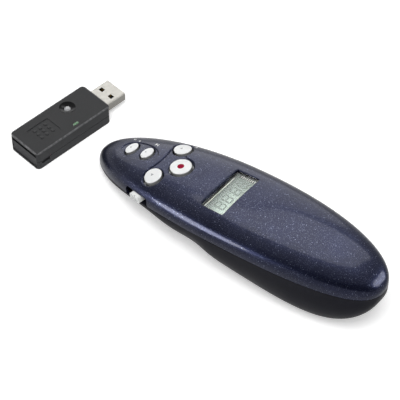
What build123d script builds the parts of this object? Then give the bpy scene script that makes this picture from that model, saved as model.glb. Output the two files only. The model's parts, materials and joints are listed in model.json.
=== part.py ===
from build123d import *
from math import cos, pi, radians, sin, tan
from types import SimpleNamespace
import os

# Hand-held wireless presenter and its USB receiver, in millimetres.
# +X runs from the tail to the nose, +Y to the side with the slide switch, +Z up.
# The origin is the centre of the flat on the battery door that the handset rests on.

os.makedirs("parts", exist_ok=True)

# ---- Handset: outer form -------------------------------------------------------------
body_length = 148.5
body_width = 43.0
rest_from_tail = 34.25          # centre of the resting flat, from the tail tip
rest_length = 10.0
rest_sink = 0.4                 # how far the belly curve dips below the resting flat
plan_fullness_nose = 2.0        # superellipse exponents of the outline seen from above
plan_fullness_tail = 2.3
seam_height_tail = 24.3
seam_height_middle = 20.6
seam_height_nose = 4.6
crown_rise_tail = 12.4          # crown above the seam
crown_rise_middle = 9.2
crown_rise_nose = 13.8
crown_rounding_nose = 2.5
crown_rounding_tail = 2.7
top_fullness_middle = 2.9       # superellipse exponents of the cross sections
top_fullness_slope = -0.53
low_fullness_middle = 2.63
low_fullness_slope = -0.9
grip_height = 6.0               # height of the finger arch under the body
grip_from_nose = 34.75
chin_from_nose = 10.25          # where the underside of the nose comes down again
chin_rounding = 2.0
tail_rounding = 1.94
end_angle = 1.2                 # the tips close as near the poles as this, in degrees
section_count = 15
half_section_points = 7

# ---- Handset: shells -----------------------------------------------------------------
wall = 2.0
seam_gap = 0.25
lip_height = 1.2
lip_clearance = 0.12
lip_inward = 0.3                # the lip stands this far inside the wall
pilot_clearance = 0.05

# ---- Keys ----------------------------------------------------------------------------
key_gap = 0.4
key_proud = 0.5
key_edge_radius = 0.4
key_travel = 0.8
key_flange = 0.8                # width and thickness of the flange that keeps a key in
key_flange_gap = 0.5
front_key_from_nose = 16.95
rear_key_from_nose = 25.65
small_key_along = 5.0
small_key_across = 7.0
side_key_from_nose = 37.35
side_key_share = 0.2279         # offset of the side keys as a share of the body's width
side_key_along = 7.6
side_key_across = 8.1
side_key_offset = side_key_share * body_width
side_switch_shift = 1.7         # the side keys' switches stand this much nearer the middle
laser_key_from_nose = 44.45
laser_key_diameter = 9.6
dot_diameter = 3.0
dot_depth = 0.6

# ---- Shallow pockets in the top ------------------------------------------------------
pocket_depth = 0.45
oval_pocket_from_nose = 21.45
oval_pocket_length = 20.0
oval_pocket_width = 10.2
key_pocket_rim = 1.1            # width of the sunk rim round the three rear keys
groove_radius = 24.0
groove_from_nose = 34.55
groove_half_span = 7.6
groove_width = 0.7
groove_depth = 0.8

# ---- Display -------------------------------------------------------------------------
window_from_nose = 70.75
window_across = 24.6
window_along = 11.5
window_corner = 0.7
window_gap = 0.15
window_recess = 1.0
window_thickness = 0.8
mask_thickness = 0.2
mask_border = 0.5
glass_across = 23.9
glass_along = 10.8
glass_thickness = 1.8
reflector_thickness = 0.3
zebra_width = 1.8
holder_wall = 0.8
holder_overlap = 0.2            # how far the holder reaches up the side of the glass
holder_gap = 0.1

# ---- Main board and its parts --------------------------------------------------------
board_tilt = 11.3
board_depth = 9.4               # board top below the crown at the laser key
board_thickness = 1.0
board_margin = 3.8
board_from_nose = 12.25
board_back_from_nose = 82.25
switch_size = 4.4
switch_height = 2.2
plunger_radius = 1.2
plunger_stand = 1.0
plunger_seat = 1.0
plunger_gap = 0.08
chip_size = 7.0
chip_height = 1.2
crystal_length = 8.0
crystal_width = 3.4
crystal_height = 2.6
chip_from_nose = 62.0
crystal_from_nose = 50.0
rest_radius = 1.5               # pegs of the lower shell that carry the board
back_rest_from_nose = 77.0
back_rest_offset = 10.0
front_rest_from_nose = 22.0
front_rest_offset = 5.0

# ---- Side slide switch ---------------------------------------------------------------
slot_from_nose = 34.65
slot_length = 14.2
slot_height = 3.8
slot_corner = 1.3
knob_length = 5.8
knob_gap = 0.3
knob_corner = 1.3               # rounding of the knob's upper corners
knob_proud = 1.2
knob_travel = 2.2
knob_plate = 0.8
knob_plate_extra = 7.5
knob_plate_gap = 0.4
knob_plate_setback = 1.6        # the side wall leans in this much behind the slot
knob_rib_count = 2
knob_rib_width = 0.8
knob_rib_depth = 0.5
knob_edge = 0.4
slide_switch_length = 9.0
slide_switch_width = 2.7
slide_switch_height = 2.4
lever_width = 1.4
lever_height = 1.0
lever_seat = 0.7
lever_gap = 0.15

# ---- Laser ---------------------------------------------------------------------------
laser_rise = 0.5                # laser axis above the seam at the nose tip
barrel_radius = 2.8
barrel_length = 10.0
barrel_from_nose = 4.2
barrel_gap = 0.06
lens_radius = 1.9
lens_depth = 1.2
exit_radius = 2.2
exit_gap = 0.08
exit_thickness = 1.6
exit_from_nose = 1.0
cradle_length = 2.0

# ---- Battery bay ---------------------------------------------------------------------
cell_length = 44.5
cell_diameter = 10.5
cell_spacing = 11.1
cell_clearance = 0.35
cell_floor = 1.2
tip_length = 0.9
tip_diameter = 3.8
bay_from_tail = 15.65
bay_wall = 1.3
bay_corner = 4.5
contact_thickness = 0.4
contact_width = 8.0
spring_length = 2.4
spring_diameter = 6.4
spring_wire = 0.5
spring_turns = 2.5
door_ledge = 0.8
door_gap = 0.2
door_seat_gap = 0.1
door_corner = 2.0
door_groove_count = 5
door_groove_pitch = 1.6
door_groove_width = 0.7
door_groove_length = 11.0
door_groove_depth = 0.4
door_groove_from_end = 5.0

# ---- Case screws ---------------------------------------------------------------------
screw_length = 9.0
screw_radius = 0.95
screw_head_radius = 1.9
screw_head_height = 1.4
screw_head_depth = 2.6          # bearing face above the outside of the belly
screw_bearing = 4.0             # thickness of post under the head
post_radius = 3.3
boss_radius = 2.5
counterbore_gap = 0.3
middle_screw_from_nose = 56.75
middle_screw_margin = 6.9       # from the outline in to the screw
rear_screw_from_tail = 10.2
drive_width = 0.5
drive_length = 2.4
drive_depth = 0.7

# ---- Receiver ------------------------------------------------------------------------
receiver_from_nose = 24.35      # middle of the receiver, ahead of the nose tip
receiver_y = 1.4
receiver_turn = -96.4           # direction of the plug, from +X
receiver_length = 43.4
receiver_width = 18.8
receiver_height = 10.1
receiver_corner = 2.0
receiver_edge = 0.5
receiver_wall = 1.2
receiver_seam = 4.8
receiver_groove_height = 0.2
receiver_groove_depth = 0.3
plug_height = 5.2
plug_width = 12.0
plug_thickness = 4.5
plug_reach = 11.8
plug_root = 6.5
plug_sheet = 0.3
plug_corner = 0.6
plug_hole_from_face = 5.8
plug_hole_offset = 3.05
plug_hole_along = 2.0
plug_hole_across = 2.4
plug_fit = 0.05
tongue_thickness = 1.9
tongue_gap = 0.1
tongue_setback = 0.4
pin_width = 1.0
pin_pitch = 2.5
pin_outer_extra = 1.0           # the two outer pins are set further out
pin_thickness = 0.15
pin_outer_length = 9.0
pin_inner_length = 8.0
receiver_board_thickness = 0.8
receiver_board_gap = 0.5
board_rest_offset = 5.5
dish_from_middle = 7.2
dish_offset = 3.5
dish_radius = 3.75
dish_depth = 1.0
dish_boss = 1.0
connect_radius = 1.6
connect_gap = 0.15
connect_drop = 0.35
connect_travel = 0.5
connect_flange = 0.7
connect_flange_gap = 0.15
connect_stem_radius = 1.0
connect_switch_height = 2.8
connect_plunger_seat = 0.8
lamp_from_middle = 3.3
lamp_offset = -6.7
lamp_length = 3.0
lamp_width = 1.2
lamp_gap = 0.05
led_height = 0.8
led_length = 1.6
badge_from_middle = -9.8
badge_length = 12.4
badge_width = 9.6
badge_corner = 0.9
badge_depth = 0.25
end_slot_low = 6.7
end_slot_high = 8.8
end_slot_depth = 1.5
end_cap_thickness = 2.6
end_cap_inset = 0.4
end_cap_gap = 0.1
notch_from_end = 2.4
notch_length = 4.6
notch_height = 1.8
notch_depth = 0.6
radio_chip_size = 5.0
radio_chip_height = 0.9
radio_chip_from_middle = -6.5
radio_crystal_length = 3.2
radio_crystal_width = 2.5
radio_crystal_from_middle = -12.0

tail_x = -rest_from_tail
nose_x = tail_x + body_length
middle_x = (tail_x + nose_x) / 2
half_length = body_length / 2
half_width = body_width / 2
BOTTOM = (Align.CENTER, Align.CENTER, Align.MIN)

parts = {}


def keep(name, shape):
    """Store a finished piece under its node name."""
    parts[name] = shape
    return shape


# ---- Form of the handset -------------------------------------------------------------
def share(x):
    """Place along the body, from -1 at the tail to +1 at the nose."""
    return max(-1.0, min(1.0, (x - middle_x) / half_length))


def through(t, tail, middle, nose):
    """Parabola through three heights at the tail, the middle and the nose."""
    return middle + (nose - tail) / 2 * t + ((nose + tail) / 2 - middle) * t * t


def closing(u, rounding):
    """Superellipse quarter: 1 at u = 0, 0 at u = 1."""
    return max(0.0, 1 - abs(u) ** rounding) ** (1 / rounding)


def outline(x):
    """Half width of the body at the seam."""
    t = share(x)
    return half_width * closing(t, plan_fullness_nose if t > 0 else plan_fullness_tail)


def seam(x):
    """Height of the seam between the two shells."""
    return through(share(x), seam_height_tail, seam_height_middle, seam_height_nose)


def crown(x):
    """Height of the top surface on the centre line."""
    t = share(x)
    rise = through(t, crown_rise_tail, crown_rise_middle, crown_rise_nose)
    return seam(x) + rise * closing(t, crown_rounding_nose if t > 0 else crown_rounding_tail)


def wave(x, start, end):
    """Smooth step from 0 at start to 1 at end."""
    return (1 - cos(pi * max(0.0, min(1.0, (x - start) / (end - start))))) / 2


def belly(x):
    """Height of the underside on the centre line, before the resting flat is cut."""
    rest_rear, rest_front = -rest_length / 2, rest_length / 2
    grip_x, chin_x = nose_x - grip_from_nose, nose_x - chin_from_nose
    if x < rest_rear:
        end = closing((rest_rear - x) / (rest_rear - tail_x), tail_rounding)
        return seam(x) - (seam(x) + rest_sink) * end
    if x > chin_x:
        end = closing((x - chin_x) / (nose_x - chin_x), chin_rounding)
        return seam(x) - (seam(x) + rest_sink) * end
    lift = wave(x, rest_front, grip_x) * (1 - wave(x, grip_x, chin_x))
    return (grip_height + rest_sink) * lift - rest_sink


def top_fullness(x):
    """Exponent of the section above the seam."""
    return top_fullness_middle + top_fullness_slope * share(x)


def low_fullness(x):
    """Exponent of the section below the seam."""
    return low_fullness_middle + low_fullness_slope * share(x)


def skin_height(x, y):
    """Height of the top surface over any point of the plan."""
    across = min(1.0, abs(y) / outline(x))
    return seam(x) + (crown(x) - seam(x)) * closing(across, top_fullness(x))


def belly_height(x, y):
    """Height of the underside over any point of the plan."""
    across = min(1.0, abs(y) / outline(x))
    return seam(x) - (seam(x) - belly(x)) * closing(across, low_fullness(x))


def stations(low_x, high_x):
    """Places of the sections, closer together towards the tips."""
    angles = [end_angle + (180 - 2 * end_angle) * i / (section_count - 1) for i in range(section_count)]
    middle, half = (low_x + high_x) / 2, (high_x - low_x) / 2
    return [middle - half * cos(radians(angle)) for angle in angles]


def half_section(x, upper, inset, overrun):
    """Closed outline of one half of the body at x, moved inwards by inset."""
    side = 1 if upper else -1
    base = seam(x) + side * (0 if overrun else seam_gap / 2)
    tip = crown(x) - inset if upper else belly(x) + inset
    fullness = top_fullness(x) if upper else low_fullness(x)
    width = outline(x) - inset
    points = []
    for step in range(2 * half_section_points + 1):
        angle = pi * step / (2 * half_section_points)
        reach = abs(cos(angle)) ** (2 / fullness)
        y = width * reach if step < half_section_points else -width * reach
        points.append((x, y, base + (tip - base) * sin(angle) ** (2 / fullness)))
    points[half_section_points] = (x, 0, tip)
    arch = Spline(*points)
    low = base - side * overrun
    if overrun:
        edge = Polyline((x, -width, base), (x, -width, low), (x, width, low), (x, width, base))
        return Wire([arch, *edge.edges()])
    return Wire([arch, Line((x, -width, base), (x, width, base))])


def half_body(upper, inset=0.0, overrun=0.0, low_x=None, high_x=None):
    """One half of the body as a solid, whole or between two places."""
    low_x = tail_x + inset if low_x is None else low_x
    high_x = nose_x - inset if high_x is None else high_x
    return Solid.make_loft([half_section(x, upper, inset, overrun) for x in stations(low_x, high_x)])


def seam_band(inset, above, below):
    """Flat-sided band that follows the seam, inset from the outline."""
    wires = []
    for x in stations(tail_x + inset, nose_x - inset):
        width, height = outline(x) - inset, seam(x)
        wires.append(Wire.make_polygon([(x, -width, height - below), (x, width, height - below),
                                        (x, width, height + above), (x, -width, height + above)]))
    return Solid.make_loft(wires)


# ---- Board frame: u towards the nose, v = y, w square to the board -------------------
board_x = nose_x - laser_key_from_nose
board_z = crown(board_x) - board_depth
tilt_cos, tilt_sin = cos(radians(board_tilt)), sin(radians(board_tilt))
board_plane = Plane(origin=(board_x, 0, board_z), x_dir=(tilt_cos, 0, -tilt_sin),
                    z_dir=(tilt_sin, 0, tilt_cos))
board_normal = Axis((0, 0, 0), (tilt_sin, 0, tilt_cos))


def board_point(x, y, z):
    """Place of a point in the board's own frame."""
    along, up = x - board_x, z - board_z
    return along * tilt_cos - up * tilt_sin, y, along * tilt_sin + up * tilt_cos


def on_skin(x, y):
    """Place of a point of the top surface in the board's own frame."""
    return board_point(x, y, skin_height(x, y))


def board_top(x):
    """Height of the board's top face at x."""
    return board_z - (x - board_x) * tan(radians(board_tilt))


def standing(sketch, u, v, low, high):
    """Prism that stands square to the board over (u, v), between two heights."""
    return extrude(board_plane * Pos(u, v, low) * sketch, amount=high - low)


# ---- Keys ----------------------------------------------------------------------------
def key(name, from_nose, offset, along, across, shift):
    """Sizes of one key and its place over the board."""
    x = nose_x - from_nose
    u, v, w = on_skin(x, offset)
    rim_y = abs(offset) + across / 2 + key_flange
    rim = min(on_skin(x, rim_y)[2], on_skin(x + along / 2 + key_flange, offset)[2],
              on_skin(x - along / 2 - key_flange, rim_y)[2])
    side = 0 if offset == 0 else (1 if offset > 0 else -1)
    return SimpleNamespace(name=name, u=u, v=v, w=w, along=along / 2, across=across / 2,
                           flange_top=rim - wall - key_flange_gap,
                           switch_u=u - shift, switch_v=v - side * shift)


def make_keys():
    """The five keys of the handset."""
    small = (small_key_along, small_key_across, 0)
    side = (side_key_along, side_key_across, side_switch_shift)
    return [key("front_small_button", front_key_from_nose, 0, *small),
            key("rear_small_button", rear_key_from_nose, 0, *small),
            key("left_button", side_key_from_nose, side_key_offset, *side),
            key("right_button", side_key_from_nose, -side_key_offset, *side),
            key("laser_button", laser_key_from_nose, 0, laser_key_diameter, laser_key_diameter, 0)]


def oval(item, grow=0.0):
    """Plan of a key, grown all round."""
    return Ellipse(item.along + grow, item.across + grow)


keys = make_keys()
stem_low = switch_height + plunger_stand
far = 12.0                       # tools reach this far past the skin


def make_key_caps():
    """Caps whose tops follow the skin of the handset and stand a little proud."""
    key_front = nose_x - front_key_from_nose + small_key_along
    key_back = nose_x - laser_key_from_nose - laser_key_diameter
    proud_skin = half_body(True, -key_proud, overrun=wall, low_x=key_back, high_x=key_front)
    for item in keys:
        cap = standing(oval(item), item.u, item.v, item.flange_top, item.w + far) & proud_skin
        cap = fillet(cap.faces().sort_by(board_normal)[-1].edges(), key_edge_radius)
        flange_low = max(item.flange_top - key_flange, stem_low)
        cap += standing(oval(item, key_flange), item.u, item.v, flange_low, item.flange_top)
        cap += standing(Circle(plunger_radius + 0.4), item.switch_u, item.switch_v, stem_low,
                        item.flange_top)
        if item.name == "left_button":
            cap -= plate_room()
        if item.name == "laser_button":
            dot_low = item.w + key_proud - dot_depth
            well = standing(Circle(dot_diameter / 2), item.u, item.v, dot_low, item.w + far)
            keep("laser_button_dot", well & cap)
            cap -= well
        keep(item.name, cap)
        keep(f"{item.name}_plunger", standing(Circle(plunger_radius), item.switch_u, item.switch_v,
                                              switch_height - plunger_seat, stem_low))


def make_switches():
    """One push switch on the board under each key."""
    switches = []
    for item in keys:
        body = standing(Rectangle(switch_size, switch_size), item.switch_u, item.switch_v, 0, switch_height)
        well_low = switch_height - plunger_seat - key_travel - plunger_gap
        well = standing(Circle(plunger_radius + plunger_gap), item.switch_u, item.switch_v,
                        max(well_low, 0.2), switch_height + 1)
        switches.append(body - well)
    keep("tact_switches", Compound(switches))


# ---- Display -------------------------------------------------------------------------
window_x = nose_x - window_from_nose
window_u, window_v, window_w = on_skin(window_x, 0)
pane_top = window_w - window_recess
mask_top = pane_top - window_thickness
glass_top = mask_top - mask_thickness
glass_low = glass_top - glass_thickness
holder_top = glass_low + holder_overlap


def panel(along, across, low, high, corner=0.0):
    """Flat panel centred under the display window."""
    sketch = RectangleRounded(along, across, corner) if corner else Rectangle(along, across)
    return standing(sketch, window_u, window_v, low, high)


def make_display():
    """Pane, mask, display glass, reflector, contact strips and their holder."""
    along, across = window_along - 2 * window_gap, window_across - 2 * window_gap
    keep("lcd_window", panel(along, across, mask_top, pane_top, window_corner - window_gap))
    mask = panel(along, across, glass_top, mask_top, window_corner - window_gap)
    keep("lcd_mask", mask - panel(along - 2 * mask_border, across - 2 * mask_border,
                                  glass_top - 1, mask_top + 1))
    keep("lcd_glass", panel(glass_along, glass_across, glass_low, glass_top))
    inner_along = glass_along - 2 * zebra_width
    keep("lcd_reflector", panel(inner_along - 2 * holder_gap, glass_across - 1,
                                glass_low - reflector_thickness, glass_low))
    strips = []
    for side in (-1, 1):
        u = window_u + side * (glass_along - zebra_width) / 2
        strips.append(standing(Rectangle(zebra_width, glass_across - 1), u, 0, 0, glass_low))
    keep("zebra_strips", Compound(strips))
    outer = 2 * (holder_gap + holder_wall)
    holder = panel(glass_along + outer, glass_across + outer, 0, holder_top, window_corner)
    well = panel(glass_along + 2 * holder_gap, glass_across + 2 * holder_gap, -1, holder_top + 1)
    keep("lcd_holder", holder - well)


# ---- Side slide switch ---------------------------------------------------------------
slot_x = nose_x - slot_from_nose
slot_step = 0.5
slot_turn = (outline(slot_x + slot_step) - outline(slot_x - slot_step)) / (2 * slot_step)
slot_mid = board_point(slot_x, outline(slot_x), seam(slot_x) + slot_height / 2)
slide_plane = Plane(origin=board_plane.from_local_coords(Vector(*slot_mid)),
                    x_dir=(tilt_cos, slot_turn, -tilt_sin), z_dir=(tilt_sin, 0, tilt_cos))
slide_outward = Axis((0, 0, 0), tuple(slide_plane.y_dir))


knob_back = -wall - knob_plate_setback - knob_plate_gap
plate_length = knob_length + knob_plate_extra
plate_height = slot_height + knob_plate
plate_v = knob_back - knob_plate / 2
switch_front = knob_back - knob_plate - knob_plate_gap


def slide_box(length, depth, height, u=0.0, v=0.0, w=0.0):
    """Box in the slide's frame: along the slot, outwards and up."""
    return slide_plane * Pos(u, v, w) * Box(length, depth, height)


def plate_room():
    """Room of the knob's plate over its travel, out to the skin, that a pressed key stays clear of."""
    length = plate_length + 2 * (knob_travel + knob_plate_gap)
    height = plate_height + 2 * (key_travel + knob_plate_gap)
    return slide_box(length, -switch_front, height, v=switch_front / 2)


def make_slide():
    """Knob in the side slot, the switch on the board's edge and its lever."""
    knob_height = slot_height - 2 * knob_gap
    depth = knob_proud - knob_back
    knob = slide_box(knob_length, depth, knob_height, v=(knob_proud + knob_back) / 2)
    knob = fillet(knob.edges().filter_by(slide_outward).sort_by(board_normal)[-2:], knob_corner)
    knob = fillet(knob.faces().sort_by(slide_outward)[-1].edges(), knob_edge)
    pitch = knob_length / (knob_rib_count + 1)
    for rib in range(knob_rib_count):
        place = (rib - (knob_rib_count - 1) / 2) * pitch
        knob -= slide_box(knob_rib_width, 2 * knob_rib_depth, slot_height, u=place, v=knob_proud)
    knob += slide_box(plate_length, knob_plate, plate_height, v=plate_v)
    switch_v = switch_front - slide_switch_width / 2
    board_u, board_v, board_w = slot_mid
    switch_w = slide_switch_height / 2 - board_w
    body = slide_box(slide_switch_length, slide_switch_width, slide_switch_height, v=switch_v, w=switch_w)
    track = slide_box(lever_width + 2 * (knob_travel + lever_gap), 2 * (lever_seat + lever_gap),
                      lever_height + 2 * lever_gap, v=switch_front, w=switch_w)
    keep("slide_switch", body - track)
    lever_reach = knob_plate_gap + knob_plate + lever_seat
    lever_v = switch_front - lever_seat + lever_reach / 2
    lever = slide_box(lever_width, lever_reach, lever_height, v=lever_v, w=switch_w)
    foot_low = switch_w - lever_height
    foot_high = -plate_height / 2
    if foot_low < foot_high:
        knob += slide_box(2 * lever_width + 1, knob_plate, foot_high - foot_low, v=plate_v,
                          w=(foot_low + foot_high) / 2)
    keep("slide_knob", knob - lever)
    keep("slide_lever", lever)


# ---- Board ---------------------------------------------------------------------------
middle_screw_x = nose_x - middle_screw_from_nose
middle_screw_offset = outline(middle_screw_x) - middle_screw_margin
rear_screw_x = tail_x + rear_screw_from_tail
screw_places = [(middle_screw_x, middle_screw_offset), (middle_screw_x, -middle_screw_offset),
                (rear_screw_x, 0)]


def make_board():
    """Tilted circuit board, the controller and the crystal under it."""
    back, front, steps = nose_x - board_back_from_nose, nose_x - board_from_nose, 8
    places = [back + (front - back) * i / steps for i in range(steps + 1)]
    side = [(x, outline(x) - board_margin) for x in places]
    points = side + [(x, -y) for x, y in reversed(side)]
    column = extrude(make_face(Polyline(*points, close=True)), amount=crown(middle_x))
    slab = board_plane * Box(2 * body_length, body_width, board_thickness,
                             align=(Align.CENTER, Align.CENTER, Align.MAX))
    board = column & slab
    for x, y in screw_places[:2]:
        board -= Pos(x, y, 0) * Cylinder(boss_radius + counterbore_gap, 2 * crown(x))
    notch_depth = board_margin
    board -= slide_box(plate_length + 2 * (knob_travel + knob_plate_gap), notch_depth, 2 * body_width,
                       v=switch_front + knob_plate_gap / 2 + notch_depth / 2)
    keep("main_board", board)
    under = -board_thickness
    chip_u = board_point(nose_x - chip_from_nose, 0, board_top(nose_x - chip_from_nose))[0]
    crystal_u = board_point(nose_x - crystal_from_nose, 0, board_top(nose_x - crystal_from_nose))[0]
    chip = standing(Rectangle(chip_size, chip_size), chip_u, 0, under - chip_height, under)
    keep("control_chip", chip)
    can = RectangleRounded(crystal_width, crystal_length, crystal_width / 2 - 0.05)
    keep("crystal", standing(can, crystal_u, 0, under - crystal_height, under))


# ---- Shells --------------------------------------------------------------------------
laser_z = seam_height_nose + laser_rise
barrel_front = nose_x - barrel_from_nose
cell_radius = cell_diameter / 2
bay_low_x = tail_x + bay_from_tail
bay_length = cell_length + spring_length + 2 * contact_thickness + cell_clearance
bay_high_x = bay_low_x + bay_length
bay_half = cell_spacing / 2 + cell_radius + cell_clearance
cell_z = belly(bay_low_x + contact_thickness) + wall + cell_floor + cell_radius
bay_top = cell_z + cell_radius + cell_clearance
cell_low_x = bay_low_x + contact_thickness + spring_length


def along_x(radius, low_x, high_x, y=0.0, z=0.0):
    """Cylinder that lies along X."""
    return Pos((low_x + high_x) / 2, y, z) * Rot(0, 90, 0) * Cylinder(radius, high_x - low_x)


def block(low, high):
    """Box between two corners."""
    size = [b - a for a, b in zip(low, high)]
    centre = [(a + b) / 2 for a, b in zip(low, high)]
    return Pos(*centre) * Box(*size)


def bay_prism(grow, low_z, high_z, low_x, high_x, corner):
    """Lengthwise prism with rounded top edges, for the battery bay and its walls."""
    half = bay_half + grow
    prism = block((low_x, -half, low_z), (high_x, half, high_z))
    edges = [edge for edge in prism.edges().filter_by(Axis.X) if edge.center().Z > (low_z + high_z) / 2]
    return fillet(edges, corner)


def door_prism(grow):
    """Column over the plan of the battery door."""
    length = bay_length + 2 * (door_ledge + grow)
    width = 2 * (bay_half + door_ledge + grow)
    plan = RectangleRounded(length, width, door_corner + grow)
    return extrude(Pos((bay_low_x + bay_high_x) / 2, 0, -far) * plan, amount=far + cell_z)


def seat_height(x, y):
    """Height of the face that a screw head bears on."""
    return belly_height(x, y) + screw_head_depth


def make_bottom_shell(low_outer, low_core):
    """Lower shell: bay, screw posts, laser cradle, seam lip and door opening."""
    hollow = low_core - bay_prism(bay_wall, -far, bay_top + bay_wall, bay_low_x - bay_wall,
                                  bay_high_x + bay_wall, bay_corner + bay_wall)
    for x, y in screw_places:
        top = seat_height(x, y) + screw_bearing
        hollow -= Pos(x, y, -far) * Cylinder(post_radius, top + far, align=BOTTOM)
    rests = ((back_rest_from_nose, back_rest_offset), (front_rest_from_nose, front_rest_offset))
    for from_nose, offset in rests:
        x = nose_x - from_nose
        u = board_point(x, 0, board_top(x))[0]
        for side in (-1, 1):
            hollow -= standing(Circle(rest_radius), u, side * offset, -body_width, -board_thickness)
    for x in (barrel_front - cradle_length, barrel_front - barrel_length + cradle_length):
        hollow -= block((x - cradle_length / 2, -barrel_radius - wall, -far),
                        (x + cradle_length / 2, barrel_radius + wall, laser_z))
    shell = low_outer - hollow
    lip = seam_band(wall / 2 + lip_clearance, lip_height, wall)
    shell += lip - seam_band(wall + lip_inward, lip_height + 1, wall + 1)
    barrel_back = barrel_front - barrel_length
    shell -= along_x(barrel_radius + barrel_gap, barrel_back - 1, barrel_front + 1, z=laser_z)
    shell -= along_x(exit_radius + exit_gap, barrel_front, nose_x + 1, z=laser_z)
    shell -= slot_tool()
    shell -= bay_prism(0, -far, bay_top, bay_low_x, bay_high_x, bay_corner)
    shell -= door_prism(door_gap) - low_core
    for x, y in screw_places:
        seat = seat_height(x, y)
        shell -= Pos(x, y, -far) * Cylinder(screw_head_radius + counterbore_gap, seat + far, align=BOTTOM)
        shell -= Pos(x, y, 0) * Cylinder(screw_radius + counterbore_gap, 2 * seam(x))
    return shell


def slot_tool():
    """Cutter for the slot in the side, down to the seam."""
    slot = slide_box(slot_length, 2 * (wall + knob_proud), slot_height)
    return fillet(slot.edges().filter_by(slide_outward).sort_by(board_normal)[-2:], slot_corner)


def pocket_tools():
    """Plans of the sunk areas round the keys."""
    oval_x = nose_x - oval_pocket_from_nose
    u, v, w = on_skin(oval_x, 0)
    tools = [standing(Ellipse(oval_pocket_length / 2, oval_pocket_width / 2), u, v, w - wall, w + far)]
    laser = keys[4]
    rear = Pos(laser.u, laser.v) * Circle(laser.along + key_pocket_rim)
    sides = [Pos(item.u, item.v) * oval(item, key_pocket_rim) for item in keys[2:4]]
    corners = [(laser.u, laser.across), (keys[2].u, keys[2].v), (keys[2].u + keys[2].along, keys[2].v),
               (keys[3].u + keys[3].along, keys[3].v), (keys[3].u, keys[3].v), (laser.u, -laser.across)]
    plan = rear + sides[0] + sides[1] + make_face(Polyline(*corners, close=True))
    low = min(item.w for item in keys[2:5]) - wall
    tools.append(standing(plan, 0, 0, low, laser.w + far))
    return tools


def groove_tool(deep_skin):
    """Curved groove across the nose, ahead of the three rear keys."""
    centre = nose_x - groove_from_nose + groove_radius
    ring = Circle(groove_radius + groove_width / 2) - Circle(groove_radius - groove_width / 2)
    span = Rectangle(groove_radius, 2 * groove_half_span)
    ring = Pos(centre, 0) * ring & Pos(centre - groove_radius, 0) * span
    return extrude(ring, amount=crown(middle_x) + far) - deep_skin


def make_top_cover(top_outer, top_core):
    """Upper shell: key holes, display window, pockets, groove, slot and bosses."""
    cover = top_outer - top_core
    rebate = seam_band(wall / 2, lip_height + lip_clearance, wall)
    cover -= rebate
    key_low = nose_x - laser_key_from_nose - 2 * laser_key_diameter
    pocket_skin = half_body(True, pocket_depth, overrun=wall, low_x=key_low, high_x=nose_x - pocket_depth)
    for tool in pocket_tools():
        cover -= tool - pocket_skin
    deep_skin = half_body(True, groove_depth, overrun=wall, low_x=key_low, high_x=nose_x - groove_depth)
    cover -= groove_tool(deep_skin)
    for item in keys:
        cover -= standing(oval(item, key_gap), item.u, item.v, item.w - 3 * wall, item.w + far)
    cover -= panel(window_along, window_across, window_w - 3 * wall, window_w + far, window_corner)
    cover -= slot_tool()
    cover -= along_x(exit_radius + exit_gap, barrel_front, nose_x + 1, z=laser_z)
    for x, y in screw_places:
        low = seat_height(x, y) + screw_bearing
        high = skin_height(x, abs(y) + boss_radius) - wall / 2
        cover += Pos(x, y, low) * Cylinder(boss_radius, high - low, align=BOTTOM)
        tip = seat_height(x, y) + screw_length
        cover -= Pos(x, y, low - 1) * Cylinder(screw_radius + pilot_clearance, tip - low + 1.5, align=BOTTOM)
    return cover


def make_door(low_outer):
    """Battery door: a piece of the belly with finger grooves."""
    inner = half_body(False, wall - door_seat_gap, overrun=wall)
    door = (low_outer & door_prism(0)) - inner
    first = bay_low_x + door_groove_from_end
    for index in range(door_groove_count):
        x = first + index * door_groove_pitch
        depth = belly(x) + door_groove_depth
        door -= block((x - door_groove_width / 2, -door_groove_length / 2, -far),
                      (x + door_groove_width / 2, door_groove_length / 2, depth))
    return door


def make_shells():
    """Both shells and the battery door."""
    floor = block((tail_x - far, -body_width, -far), (nose_x + far, body_width, 0))
    low_outer = half_body(False) - floor
    low_core = half_body(False, wall, overrun=wall)
    keep("bottom_shell", make_bottom_shell(low_outer, low_core))
    keep("battery_door", make_door(low_outer))
    top_core = half_body(True, wall, overrun=wall)
    keep("top_cover", make_top_cover(half_body(True), top_core))


# ---- Laser ---------------------------------------------------------------------------
def make_laser():
    """Laser barrel in its cradle, its lens and the window in the nose."""
    back = barrel_front - barrel_length
    barrel = along_x(barrel_radius, back, barrel_front, z=laser_z)
    seat = along_x(lens_radius, barrel_front - lens_depth, barrel_front, z=laser_z)
    bore = along_x(lens_radius - 0.5, back + 1, barrel_front, z=laser_z)
    keep("laser_barrel", barrel - seat - bore)
    keep("laser_lens", seat)
    front = nose_x - exit_from_nose
    keep("laser_window", along_x(exit_radius, front - exit_thickness, front, z=laser_z))


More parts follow.
